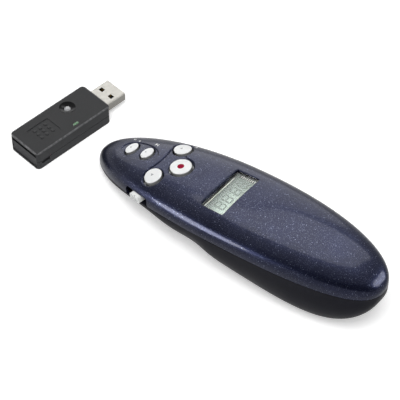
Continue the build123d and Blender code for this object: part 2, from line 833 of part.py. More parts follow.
# ---- Batteries -----------------------------------------------------------------------
def make_batteries():
    """Two cells lying opposite ways, with their springs and contact plates."""
    cans, tips, springs, plates = [], [], [], []
    cell_high_x = cell_low_x + cell_length
    plate_low = cell_z - contact_width / 2
    plate_high = cell_z + contact_width / 2
    for side in (-1, 1):
        y = side * cell_spacing / 2
        shift = 0 if side < 0 else -spring_length
        low, high = cell_low_x + shift, cell_high_x + shift
        if side < 0:
            cans.append(along_x(cell_radius, low, high - tip_length, y, cell_z))
            tips.append(along_x(tip_diameter / 2, high - tip_length, high, y, cell_z))
            spring_x = bay_low_x + contact_thickness
        else:
            cans.append(along_x(cell_radius, low + tip_length, high, y, cell_z))
            tips.append(along_x(tip_diameter / 2, low, low + tip_length, y, cell_z))
            spring_x = high
        pitch = (spring_length - spring_wire) / spring_turns
        radius = (spring_diameter - spring_wire) / 2
        path = Helix(pitch, spring_length - spring_wire, radius)
        coil = sweep(Plane(path @ 0, z_dir=path % 0) * Circle(spring_wire / 2), path)
        springs.append(Pos(spring_x + spring_wire / 2, y, cell_z) * Rot(0, 90, 0) * coil)
        plates.append(block((bay_high_x - contact_thickness, y - contact_width / 2, plate_low),
                            (bay_high_x, y + contact_width / 2, plate_high)))
    bridge_half = (cell_spacing + contact_width) / 2
    bridge = block((bay_low_x, -bridge_half, plate_low),
                   (bay_low_x + contact_thickness, bridge_half, plate_high))
    keep("battery_cans", Compound(cans))
    keep("battery_tips", Compound(tips))
    keep("battery_springs", Compound(springs))
    keep("battery_terminals", Compound(plates))
    keep("battery_bridge", bridge)


# ---- Screws --------------------------------------------------------------------------
def make_screws():
    """Three case screws driven up from the underside."""
    screws = []
    for x, y in screw_places:
        seat = seat_height(x, y)
        under = seat - screw_head_height
        head = Pos(x, y, under) * Cylinder(screw_head_radius, screw_head_height, align=BOTTOM)
        shank = Pos(x, y, seat) * Cylinder(screw_radius, screw_length, align=BOTTOM)
        cross = Box(drive_length, drive_width, 2 * drive_depth)
        cross += Box(drive_width, drive_length, 2 * drive_depth)
        screws.append(head + shank - Pos(x, y, under) * cross)
    keep("case_screws", Compound(screws))


# ---- Receiver: u along the plug, v to its left, z up ---------------------------------
receiver_place = Pos(nose_x + receiver_from_nose, receiver_y, 0) * Rot(0, 0, receiver_turn)
face_u = receiver_length / 2
back_u = -receiver_length / 2
board_face = plug_height - plug_thickness / 2


def keep_receiver(name, shape):
    """Store a receiver piece where the receiver lies."""
    return keep(name, receiver_place * shape)


def case_block(low, high, inset=0.0):
    """Rounded block of the receiver's plan."""
    plan = RectangleRounded(receiver_length - 2 * inset, receiver_width - 2 * inset,
                            max(receiver_corner - inset, 0.3))
    return extrude(Pos(0, 0, low) * plan, amount=high - low)


def end_opening(grow, low, high):
    """Opening in the receiver's rear wall."""
    half = receiver_width / 2 - receiver_wall - end_cap_gap + grow
    return block((back_u - 1, -half, low), (back_u + end_cap_thickness + 1, half, high + grow))


def make_receiver_case():
    """Two case halves and the end cap."""
    inner_top = receiver_height - receiver_wall
    plug_half = plug_width / 2 + plug_fit
    plug_rise = plug_thickness / 2 + plug_fit
    plug_opening = block((0, -plug_half, plug_height - plug_rise),
                         (receiver_length, plug_half, plug_height + plug_rise))
    opening = end_opening(end_cap_gap, receiver_wall, end_slot_high)
    top = case_block(receiver_seam, receiver_height)
    top = fillet(top.faces().sort_by(Axis.Z)[-1].edges(), receiver_edge)
    top -= case_block(0, inner_top, receiver_wall)
    dish = Pos(dish_from_middle, dish_offset, 0)
    boss = Cylinder(dish_radius + 0.6, dish_boss + 0.1, align=BOTTOM)
    top += dish * Pos(0, 0, inner_top - dish_boss) * boss
    bowl = (dish_radius ** 2 + dish_depth ** 2) / (2 * dish_depth)
    top -= dish * Pos(0, 0, receiver_height - dish_depth + bowl) * Sphere(bowl)
    bore = Cylinder(connect_radius + connect_gap, 4 * dish_boss + 2 * receiver_wall)
    top -= dish * Pos(0, 0, receiver_height) * bore
    lamp_plan = SlotOverall(lamp_length + 2 * lamp_gap, lamp_width + 2 * lamp_gap)
    lamp_hole = extrude(lamp_plan, amount=receiver_wall * 2, both=True)
    top -= Pos(lamp_from_middle, lamp_offset, receiver_height) * lamp_hole
    badge = RectangleRounded(badge_length, badge_width, badge_corner)
    top -= extrude(Pos(badge_from_middle, 0, receiver_height - badge_depth) * badge, amount=1)
    keep_receiver("receiver_top", top - plug_opening - opening)
    base = case_block(0, receiver_seam)
    base = fillet(base.faces().sort_by(Axis.Z)[0].edges(), receiver_edge)
    base -= case_block(receiver_wall, receiver_seam + 1, receiver_wall)
    groove_low = receiver_seam - receiver_groove_height
    base -= case_block(groove_low, receiver_seam + 1) - case_block(0, receiver_height, receiver_groove_depth)
    rest_top = board_face - receiver_board_thickness
    for side in (-1, 1):
        v = side * board_rest_offset
        base += block((radio_crystal_from_middle, v - 0.6, receiver_wall / 2),
                      (dish_from_middle, v + 0.6, rest_top))
    wall_side = -receiver_width / 2
    notch = block((back_u + notch_from_end, wall_side - 1, receiver_seam - notch_height),
                  (back_u + notch_from_end + notch_length, wall_side + notch_depth, receiver_seam))
    keep_receiver("receiver_base", base - notch - plug_opening - opening)
    cap = end_opening(0, receiver_wall, end_slot_high)
    side, roof = receiver_width, receiver_height
    cap -= block((back_u - 2, -side, 0), (back_u + end_cap_inset, side, roof))
    cap -= block((back_u - 2, -side, end_slot_low), (back_u + end_slot_depth, side, roof))
    cap -= block((back_u + end_cap_thickness, -side, 0), (0, side, roof))
    keep_receiver("receiver_end_cap", cap)


def make_plug():
    """Sheet-metal plug shell with its two windows, tongue and contact pins."""
    low_u, high_u = face_u - plug_root, face_u + plug_reach
    middle_u = (low_u + high_u) / 2
    tube = Pos(middle_u, 0, plug_height) * Box(high_u - low_u, plug_width, plug_thickness)
    tube = fillet(tube.edges().filter_by(Axis.X), plug_corner)
    inner = Pos(middle_u, 0, plug_height) * Box(high_u - low_u + 1, plug_width - 2 * plug_sheet,
                                                plug_thickness - 2 * plug_sheet)
    tube -= fillet(inner.edges().filter_by(Axis.X), plug_corner - plug_sheet)
    for side in (-1, 1):
        tube -= Pos(face_u + plug_hole_from_face, side * plug_hole_offset, plug_height) * Box(
            plug_hole_along, plug_hole_across, 2 * plug_thickness)
    keep_receiver("usb_shell", tube)
    tongue_low = plug_height - plug_thickness / 2 + plug_sheet + tongue_gap
    tongue_top = tongue_low + tongue_thickness
    tongue_half = plug_width / 2 - plug_sheet - tongue_gap
    tongue = block((low_u, -tongue_half, tongue_low), (high_u - tongue_setback, tongue_half, tongue_top))
    back_top = plug_height + plug_thickness / 2 - plug_sheet - tongue_gap
    back = block((low_u, -tongue_half, tongue_low), (face_u - 1, tongue_half, back_top))
    keep_receiver("usb_tongue", tongue + back)
    pins = []
    for place in (-1.5, -0.5, 0.5, 1.5):
        outer = abs(place) > 1
        v = place * (2 * pin_pitch + (pin_outer_extra if outer else -pin_outer_extra)) / 2
        length = pin_outer_length if outer else pin_inner_length
        front = high_u - tongue_setback - 1
        pins.append(block((front - length, v - pin_width / 2, tongue_top),
                          (front, v + pin_width / 2, tongue_top + pin_thickness)))
    keep_receiver("usb_pins", Compound(pins))


def make_receiver_inside():
    """Receiver board, chips, status lamp, pairing key and its switch."""
    board_half = receiver_width / 2 - receiver_wall - receiver_board_gap
    low_u = back_u + end_cap_thickness + receiver_board_gap
    high_u = face_u - receiver_wall - receiver_board_gap
    board_low = board_face - receiver_board_thickness
    keep_receiver("receiver_board", block((low_u, -board_half, board_low), (high_u, board_half, board_face)))
    chip = Box(radio_chip_size, radio_chip_size, radio_chip_height, align=BOTTOM)
    can = Box(radio_crystal_length, radio_crystal_width, radio_chip_height, align=BOTTOM)
    chips = [Pos(radio_chip_from_middle, 0, board_face) * chip,
             Pos(radio_crystal_from_middle, 0, board_face) * can]
    keep_receiver("receiver_chips", Compound(chips))
    lamp_low = board_face + led_height + 0.2
    keep_receiver("status_lamp", Pos(lamp_from_middle, lamp_offset, lamp_low) * extrude(
        SlotOverall(lamp_length, lamp_width), amount=receiver_height - lamp_low))
    keep_receiver("status_led", Pos(lamp_from_middle, lamp_offset, board_face) * Box(
        led_length, lamp_width - 0.2, led_height, align=BOTTOM))
    centre = Pos(dish_from_middle, dish_offset, 0)
    flange_top = receiver_height - receiver_wall - dish_boss - connect_flange_gap
    flange_low = flange_top - connect_flange
    stem_bottom = board_face + connect_switch_height + connect_travel + 0.2
    top = receiver_height - connect_drop
    head = Pos(0, 0, flange_top) * Cylinder(connect_radius, top - flange_top, align=BOTTOM)
    head = fillet(head.faces().sort_by(Axis.Z)[-1].edges(), connect_radius * 0.55)
    flange = Pos(0, 0, flange_low) * Cylinder(connect_radius + connect_flange, connect_flange, align=BOTTOM)
    stem = Pos(0, 0, stem_bottom) * Cylinder(connect_stem_radius, flange_low - stem_bottom, align=BOTTOM)
    keep_receiver("connect_button", centre * (head + flange + stem))
    switch_top = board_face + connect_switch_height
    plunger_low = switch_top - connect_plunger_seat
    plunger = Pos(0, 0, plunger_low) * Cylinder(connect_stem_radius, stem_bottom - plunger_low, align=BOTTOM)
    keep_receiver("connect_button_plunger", centre * plunger)
    body = Pos(0, 0, board_face) * Box(switch_size, switch_size, connect_switch_height, align=BOTTOM)
    well_low = plunger_low - connect_travel - plunger_gap
    well = Cylinder(connect_stem_radius + plunger_gap, connect_switch_height, align=BOTTOM)
    well = Pos(0, 0, well_low) * well
    keep_receiver("connect_switch", centre * (body - well))


make_key_caps()
make_switches()
make_display()
make_slide()
make_board()
make_shells()
make_laser()
make_batteries()
make_screws()
make_receiver_case()
make_plug()
make_receiver_inside()

for name, shape in parts.items():
    export_step(shape, f"parts/{name}.step")
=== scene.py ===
"""Looks of a hand-held wireless presenter and its USB receiver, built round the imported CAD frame."""

import json
import logging
import math
from dataclasses import dataclass
from enum import Enum
from typing import Callable, Iterable, Sequence

import bmesh
import bpy
import numpy as np
from mathutils import Matrix, Vector


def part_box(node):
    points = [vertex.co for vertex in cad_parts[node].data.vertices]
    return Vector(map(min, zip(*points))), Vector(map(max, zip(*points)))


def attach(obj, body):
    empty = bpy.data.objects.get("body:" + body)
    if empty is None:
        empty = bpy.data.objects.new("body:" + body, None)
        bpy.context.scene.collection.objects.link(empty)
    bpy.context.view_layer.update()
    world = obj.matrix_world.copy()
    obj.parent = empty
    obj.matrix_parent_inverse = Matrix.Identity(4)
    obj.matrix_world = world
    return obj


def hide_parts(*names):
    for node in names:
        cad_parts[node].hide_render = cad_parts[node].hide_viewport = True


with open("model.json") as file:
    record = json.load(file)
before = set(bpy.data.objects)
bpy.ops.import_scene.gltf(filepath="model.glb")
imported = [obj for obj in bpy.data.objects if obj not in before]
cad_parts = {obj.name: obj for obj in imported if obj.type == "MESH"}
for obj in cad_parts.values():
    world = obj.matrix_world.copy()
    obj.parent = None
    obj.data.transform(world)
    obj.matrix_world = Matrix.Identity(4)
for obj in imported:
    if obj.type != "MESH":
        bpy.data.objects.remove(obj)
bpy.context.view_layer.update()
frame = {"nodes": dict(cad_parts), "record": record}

LOG = logging.getLogger("presenter")
MM = 0.001
TINY = 1e-9
Colour = tuple[float, float, float, float]
Point = tuple[float, float, float]
Pair = tuple[float, float]
Heights = Callable[[np.ndarray, np.ndarray], np.ndarray]


# ---------------------------------------------------------------------------------------
# Meshes
# ---------------------------------------------------------------------------------------
class MeshShop:
    """Makes, cuts and smooths meshes. Shapes come in as millimetres and leave as metres."""

    sliver = 1e-7

    @staticmethod
    def from_data(name: str, points: Iterable[Sequence[float]],
                  faces: Iterable[Sequence[int]]) -> bpy.types.Object:
        """Make an object from points in millimetres.

        Args:
            name: Name of the new object.
            points: Corner places in millimetres.
            faces: Corner numbers of each face.

        Returns:
            The new object, linked to the scene.
        """
        mesh = bpy.data.meshes.new(name)
        mesh.from_pydata([tuple(MM * c for c in p) for p in points], [], [tuple(f) for f in faces])
        mesh.update()
        obj = bpy.data.objects.new(name, mesh)
        bpy.context.scene.collection.objects.link(obj)
        return obj

    @staticmethod
    def mend(obj: bpy.types.Object, join: float | None = None) -> None:
        """Turn all normals outwards.

        Args:
            obj: Object that is changed.
            join: Points closer than this many metres are joined first, if it is given.
        """
        work = bmesh.new()
        work.from_mesh(obj.data)
        if join:
            bmesh.ops.remove_doubles(work, verts=work.verts, dist=join)
            bmesh.ops.dissolve_degenerate(work, edges=work.edges, dist=MeshShop.sliver)
        bmesh.ops.recalc_face_normals(work, faces=work.faces)
        work.to_mesh(obj.data)
        work.free()

    @staticmethod
    def stack_faces(count: int, rings: int, start: int = 0) -> list[tuple[int, ...]]:
        """Faces that join a stack of closed rings and cap both ends.

        Args:
            count: Points of each ring.
            rings: Number of rings.
            start: Number of the first point.

        Returns:
            Corner numbers of each face.
        """
        faces: list[tuple[int, ...]] = []
        for ring in range(rings - 1):
            low, high = start + ring * count, start + (ring + 1) * count
            faces += [(low + i, low + (i + 1) % count, high + (i + 1) % count, high + i)
                      for i in range(count)]
        last = start + (rings - 1) * count
        return faces + [tuple(reversed(range(start, start + count))), tuple(range(last, last + count))]

    @staticmethod
    def rings(name: str, loops: Sequence[np.ndarray]) -> bpy.types.Object:
        """Skin a stack of equal closed loops and cap both ends.

        Args:
            name: Name of the new object.
            loops: Arrays of shape (n, 3) in millimetres, from the first ring to the last.

        Returns:
            The closed object.
        """
        obj = MeshShop.from_data(name, np.concatenate(loops), MeshShop.stack_faces(len(loops[0]), len(loops)))
        MeshShop.mend(obj)
        return obj

    @staticmethod
    def apply(obj: bpy.types.Object) -> None:
        """Bake every modifier of an object into its mesh.

        Args:
            obj: Object that is changed.
        """
        graph = bpy.context.evaluated_depsgraph_get()
        baked = bpy.data.meshes.new_from_object(obj.evaluated_get(graph))
        old = obj.data
        obj.modifiers.clear()
        obj.data = baked
        bpy.data.meshes.remove(old)

    @staticmethod
    def cut(obj: bpy.types.Object, tool: bpy.types.Object) -> None:
        """Cut an object with a tool, and delete the tool.

        Args:
            obj: Object that is changed.
            tool: Object that cuts, deleted afterwards.
        """
        step = obj.modifiers.new("cut", "BOOLEAN")
        step.operation = "DIFFERENCE"
        step.solver = "EXACT"
        step.object = tool
        MeshShop.apply(obj)
        bpy.data.objects.remove(tool)

    @staticmethod
    def bevel(obj: bpy.types.Object, width: float, segments: int, angle: float) -> None:
        """Round the sharp edges.

        Args:
            obj: Object that is changed.
            width: Rounding in millimetres.
            segments: Steps of the rounding.
            angle: Edges sharper than this many degrees are rounded.
        """
        step = obj.modifiers.new("bevel", "BEVEL")
        step.width = width * MM
        step.segments = segments
        step.limit_method = "ANGLE"
        step.angle_limit = math.radians(angle)
        step.harden_normals = False
        MeshShop.apply(obj)

    @staticmethod
    def smooth(obj: bpy.types.Object, angle: float = 32.0) -> None:
        """Shade smooth, and keep edges sharper than the angle crisp."""
        obj.data.shade_smooth()
        obj.data.set_sharp_from_angle(angle=math.radians(angle))


class Outline:
    """Plane outlines in millimetres, as lists of points."""

    @staticmethod
    def divide(start: Sequence[float], end: Sequence[float], count: int) -> list[Pair]:
        """Points along a side, from its start up to but without its end."""
        return [(start[0] + (end[0] - start[0]) * k / count, start[1] + (end[1] - start[1]) * k / count)
                for k in range(count)]

    @staticmethod
    def sides(corners: Sequence[Sequence[float]]) -> list[tuple[Sequence[float], Sequence[float]]]:
        """Both ends of every side of a closed outline."""
        return list(zip(corners, list(corners[1:]) + [corners[0]]))

    @staticmethod
    def dense(corners: Sequence[Sequence[float]], spacing: float) -> np.ndarray:
        """Add points along the sides of an outline.

        Args:
            corners: Corners of the outline.
            spacing: Largest distance between points.

        Returns:
            Points of shape (n, 2).
        """
        points: list[Pair] = []
        for start, end in Outline.sides(corners):
            points += Outline.divide(start, end, max(1, math.ceil(math.dist(start, end) / spacing)))
        return np.array(points)

    @staticmethod
    def rectangle(u_from: float, u_to: float, v_from: float, v_to: float) -> list[Pair]:
        """Corners of a rectangle."""
        return [(u_from, v_from), (u_to, v_from), (u_to, v_to), (u_from, v_to)]

    @staticmethod
    def rounded(centre: Sequence[float], half: Sequence[float], corner: float, steps: int) -> list[Pair]:
        """Rounded rectangle, anticlockwise.

        Args:
            centre: Middle.
            half: Half of its length and width.
            corner: Radius of the corners.
            steps: Points on each corner.

        Returns:
            The points.
        """
        points = []
        for su, sv, first in ((1, 1, 0), (-1, 1, 90), (-1, -1, 180), (1, -1, 270)):
            for turn in np.radians(np.linspace(first, first + 90, steps)):
                points.append((centre[0] + su * (half[0] - corner) + corner * math.cos(turn),
                               centre[1] + sv * (half[1] - corner) + corner * math.sin(turn)))
        return points


# ---------------------------------------------------------------------------------------
# Handset form
# ---------------------------------------------------------------------------------------
@dataclass(frozen=True)
class HandsetForm:
    """Outer form of the handset, in millimetres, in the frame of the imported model."""

    length: float = 148.5
    width: float = 43.0
    tail_x: float = -34.25
    plan_nose: float = 2.0
    plan_tail: float = 2.3
    seam_heights: Point = (24.3, 20.6, 4.6)
    crown_rises: Point = (12.4, 9.2, 13.8)
    crown_nose: float = 2.5
    crown_tail: float = 2.7
    fullness: float = 2.9
    fullness_slope: float = -0.53
    seam_gap: float = 0.25
    board_tilt: float = 11.3
    board_from_nose: float = 44.45
    board_depth: float = 9.4
    height_rounds: int = 12
    thinnest: float = 1e-6

    @property
    def nose_x(self) -> float:
        """Nose tip."""
        return self.tail_x + self.length

    @property
    def middle_x(self) -> float:
        """Middle of the body."""
        return self.tail_x + self.length / 2

    def share(self, x: np.ndarray) -> np.ndarray:
        """Place along the body, from -1 at the tail to +1 at the nose."""
        return np.clip((np.asarray(x, float) - self.middle_x) / (self.length / 2), -1, 1)

    @staticmethod
    def through(t: np.ndarray, heights: Point) -> np.ndarray:
        """Parabola through the heights at the tail, the middle and the nose."""
        tail, middle, nose = heights
        return middle + (nose - tail) / 2 * t + ((nose + tail) / 2 - middle) * t * t

    @staticmethod
    def closing(u: np.ndarray, rounding: np.ndarray) -> np.ndarray:
        """Superellipse quarter, 1 at u = 0 and 0 at u = 1."""
        return np.maximum(0.0, 1 - np.abs(u) ** rounding) ** (1 / rounding)

    def outline(self, x: np.ndarray) -> np.ndarray:
        """Half width at the seam."""
        t = self.share(x)
        return self.width / 2 * self.closing(t, np.where(t > 0, self.plan_nose, self.plan_tail))

    def seam(self, x: np.ndarray) -> np.ndarray:
        """Height of the seam."""
        return self.through(self.share(x), self.seam_heights)

    def rise(self, x: np.ndarray) -> np.ndarray:
        """Height of the crown above the seam.

        Args:
            x: Places along X.

        Returns:
            Heights in millimetres.
        """
        t = self.share(x)
        rounding = np.where(t > 0, self.crown_nose, self.crown_tail)
        return self.through(t, self.crown_rises) * self.closing(t, rounding)

    def section_fullness(self, x: np.ndarray) -> np.ndarray:
        """Exponent of the section above the seam."""
        return self.fullness + self.fullness_slope * self.share(x)

    def skin(self, x: np.ndarray, y: np.ndarray) -> np.ndarray:
        """Height of the top surface over a point of the plan.

        Args:
            x: Places along X.
            y: Places along Y.

        Returns:
            Heights in millimetres.
        """
        width = np.maximum(self.outline(x), self.thinnest)
        across = np.minimum(1.0, np.abs(y) / width)
        return self.seam(x) + self.rise(x) * self.closing(across, self.section_fullness(x))

    @property
    def board_origin(self) -> np.ndarray:
        """Origin of the tilted board frame."""
        x = self.nose_x - self.board_from_nose
        return np.array([x, 0.0, float(self.seam(x) + self.rise(x)) - self.board_depth])

    @property
    def board_axes(self) -> np.ndarray:
        """Rows: along the board, across it and square to it."""
        c, s = math.cos(math.radians(self.board_tilt)), math.sin(math.radians(self.board_tilt))
        return np.array([[c, 0, -s], [0, 1, 0], [s, 0, c]])

    def to_board(self, points: np.ndarray) -> np.ndarray:
        """Points of the model in the board frame."""
        return (np.asarray(points, float) - self.board_origin) @ self.board_axes.T

    def from_board(self, points: np.ndarray) -> np.ndarray:
        """Points of the board frame in the model."""
        return np.asarray(points, float) @ self.board_axes + self.board_origin

    def over(self, u: np.ndarray, v: np.ndarray, relief: Heights | None = None) -> np.ndarray:
        """Height of the skin square to the board.

        Args:
            u: Places along the board.
            v: Places across it.
            relief: Depth of the sunk areas as a function of u and v, if they count.

        Returns:
            Height above the board's top face.
        """
        u, v = np.broadcast_arrays(np.asarray(u, float), np.asarray(v, float))
        w = np.full(u.shape, self.board_depth)
        for _ in range(self.height_rounds):
            point = self.from_board(np.stack([u, v, w], -1))
            w = w + (self.skin(point[..., 0], point[..., 1]) - point[..., 2]) * self.board_axes[2, 2]
        return w - relief(u, v) if relief else w

    def on_board(self, x: float, y: float = 0.0) -> Point:
        """Board-frame place of the skin over a point of the plan."""
        return tuple(float(c) for c in self.to_board([x, y, float(self.skin(x, y))]))

    def along(self, from_nose: float) -> float:
        """Place along the board of the skin at a distance behind the nose."""
        return self.on_board(self.nose_x - from_nose)[0]


FORM = HandsetForm()


@dataclass(frozen=True)
class KeyPlace:
    """Plan and place of one key over the board, in millimetres."""

    node: str
    from_nose: float
    offset: float
    length: float
    width: float

    @property
    def centre(self) -> Point:
        """Board-frame place of the key's middle on the skin."""
        return FORM.on_board(FORM.nose_x - self.from_nose, self.offset)

    @property
    def half(self) -> Pair:
        """Half of the key's length and width."""
        return self.length / 2, self.width / 2

    def oval(self, grow: float, count: int = 96) -> np.ndarray:
        """Plan of the key, grown all round, as points (u, v).

        Args:
            grow: Distance that it is grown by all round.
            count: Number of points.

        Returns:
            Points of shape (count, 2).
        """
        u, v, _ = self.centre
        turn = np.linspace(0, 2 * math.pi, count, endpoint=False)
        return np.stack([u + (self.half[0] + grow) * np.cos(turn),
                         v + (self.half[1] + grow) * np.sin(turn)], -1)


KEYS: tuple[KeyPlace, ...] = (
    KeyPlace("front_small_button", 16.95, 0.0, 5.0, 7.0),
    KeyPlace("rear_small_button", 25.65, 0.0, 5.0, 7.0),
    KeyPlace("left_button", 37.35, 9.8, 7.6, 8.1),
    KeyPlace("right_button", 37.35, -9.8, 7.6, 8.1),
    KeyPlace("laser_button", 44.45, 0.0, 9.6, 9.6),
)
LEFT_KEY, RIGHT_KEY, LASER_KEY = KEYS[2:]


@dataclass(frozen=True)
class Relief:
    """Sunk areas of the top: the oval round the small keys, the pocket of the rear keys and the groove."""

    pocket_depth: float = 0.45
    oval_from_nose: float = 21.45
    oval_length: float = 20.0
    oval_width: float = 10.2
    rim: float = 1.1
    soft: float = 0.28
    groove_radius: float = 24.0
    groove_from_nose: float = 34.55
    groove_half_span: float = 7.6
    groove_width: float = 0.5
    groove_depth: float = 0.55
    groove_fade: float = 1.2
    straight_margin: float = 1.5

    @staticmethod
    def oval_distance(u: np.ndarray, v: np.ndarray, centre: Sequence[float],
                      half: Sequence[float]) -> np.ndarray:
        """Signed distance to an ellipse, close to exact near its edge.

        Args:
            u: Places along the board.
            v: Places across it.
            centre: Middle of the ellipse.
            half: Half of its length and width.

        Returns:
            Distances in millimetres, negative inside.
        """
        du, dv = u - centre[0], v - centre[1]
        reach = np.sqrt((du / half[0]) ** 2 + (dv / half[1]) ** 2) + TINY
        slope = np.sqrt((du / half[0] ** 2) ** 2 + (dv / half[1] ** 2) ** 2) / reach + TINY
        return (reach - 1) / slope

    @staticmethod
    def polygon_distance(u: np.ndarray, v: np.ndarray, corners: Sequence[Sequence[float]]) -> np.ndarray:
        """Signed distance to a closed polygon, negative inside.

        Args:
            u: Places along the board.
            v: Places across it.
            corners: Corners of the polygon.

        Returns:
            Distances in millimetres.
        """
        best = np.full(u.shape, np.inf)
        inside = np.zeros(u.shape, bool)
        for (ax, ay), (bx, by) in Outline.sides(corners):
            ex, ey = bx - ax, by - ay
            share = np.clip(((u - ax) * ex + (v - ay) * ey) / (ex * ex + ey * ey), 0, 1)
            best = np.minimum(best, np.hypot(u - ax - share * ex, v - ay - share * ey))
            crosses = (ay > v) != (by > v)
            at = ax + (v - ay) * ex / (ey if abs(ey) > TINY else TINY)
            inside ^= crosses & (u < at)
        return np.where(inside, -best, best)

    def ahead_of_groove(self, u: np.ndarray, v: np.ndarray) -> np.ndarray:
        """Distance ahead of the groove's line, negative behind it."""
        centre = FORM.along(self.groove_from_nose) + self.groove_radius
        return self.groove_radius - np.hypot(centre - u, v)

    def soften(self, distance: np.ndarray) -> np.ndarray:
        """Smooth step from 0 outside to 1 inside an edge."""
        s = np.clip(0.5 - distance / (2 * self.soft), 0, 1)
        return s * s * (3 - 2 * s)

    def pocket(self, u: np.ndarray, v: np.ndarray) -> np.ndarray:
        """Signed distance to the pocket round the three rear keys, before the groove closes it.

        Args:
            u: Places along the board.
            v: Places across it.

        Returns:
            Distance in millimetres, negative inside.
        """
        laser, left, right = LASER_KEY.centre, LEFT_KEY.centre, RIGHT_KEY.centre
        front = left[0] + LEFT_KEY.half[0]
        distance = self.polygon_distance(u, v, [
            (laser[0], LASER_KEY.half[1]), (left[0], left[1]), (front, left[1]),
            (front, right[1]), (right[0], right[1]), (laser[0], -LASER_KEY.half[1])])
        for key in (LEFT_KEY, RIGHT_KEY, LASER_KEY):
            lobe = self.oval_distance(u, v, key.centre, [half + self.rim for half in key.half])
            distance = np.minimum(distance, lobe)
        return distance

    def depth(self, u: np.ndarray, v: np.ndarray) -> np.ndarray:
        """Depth of the sunk areas.

        Args:
            u: Places along the board.
            v: Places across it.

        Returns:
            Depth in millimetres, square to the board.
        """
        oval = self.oval_distance(u, v, (FORM.along(self.oval_from_nose), 0),
                                  (self.oval_length / 2, self.oval_width / 2))
        pocket, ahead = self.pocket(u, v), self.ahead_of_groove(u, v)
        within = np.abs(v) < self.groove_half_span + self.straight_margin
        pocket = np.where(within, np.maximum(pocket, ahead), pocket)
        step = self.pocket_depth * (self.soften(oval) + self.soften(pocket))
        ends = np.clip((self.groove_half_span + self.groove_fade / 2 - np.abs(v)) / self.groove_fade, 0, 1)
        groove = self.groove_depth * np.exp(-(ahead / self.groove_width) ** 2) * ends
        return np.maximum(step, groove)


RELIEF = Relief()


@dataclass(frozen=True)
class ReceiverCase:
    """Place and size of the receiver's case, in millimetres and degrees."""

    centre: Pair = (138.6, 1.4)
    turn: float = -96.4
    half: Pair = (21.7, 9.4)
    height: float = 10.1

    def place(self, points: np.ndarray) -> np.ndarray:
        """Points of the receiver's own frame in the model.

        Args:
            points: Points of shape (..., 3), in millimetres.

        Returns:
            The same points in the model.
        """
        c, s = math.cos(math.radians(self.turn)), math.sin(math.radians(self.turn))
        points = np.asarray(points, float)
        x = self.centre[0] + points[..., 0] * c - points[..., 1] * s
        y = self.centre[1] + points[..., 0] * s + points[..., 1] * c
        return np.stack([x, y, points[..., 2]], -1)


CASE = ReceiverCase()


# ---------------------------------------------------------------------------------------
# Shader nodes
# ---------------------------------------------------------------------------------------
Socket = bpy.types.NodeSocket
Value = Socket | float | Sequence[float]


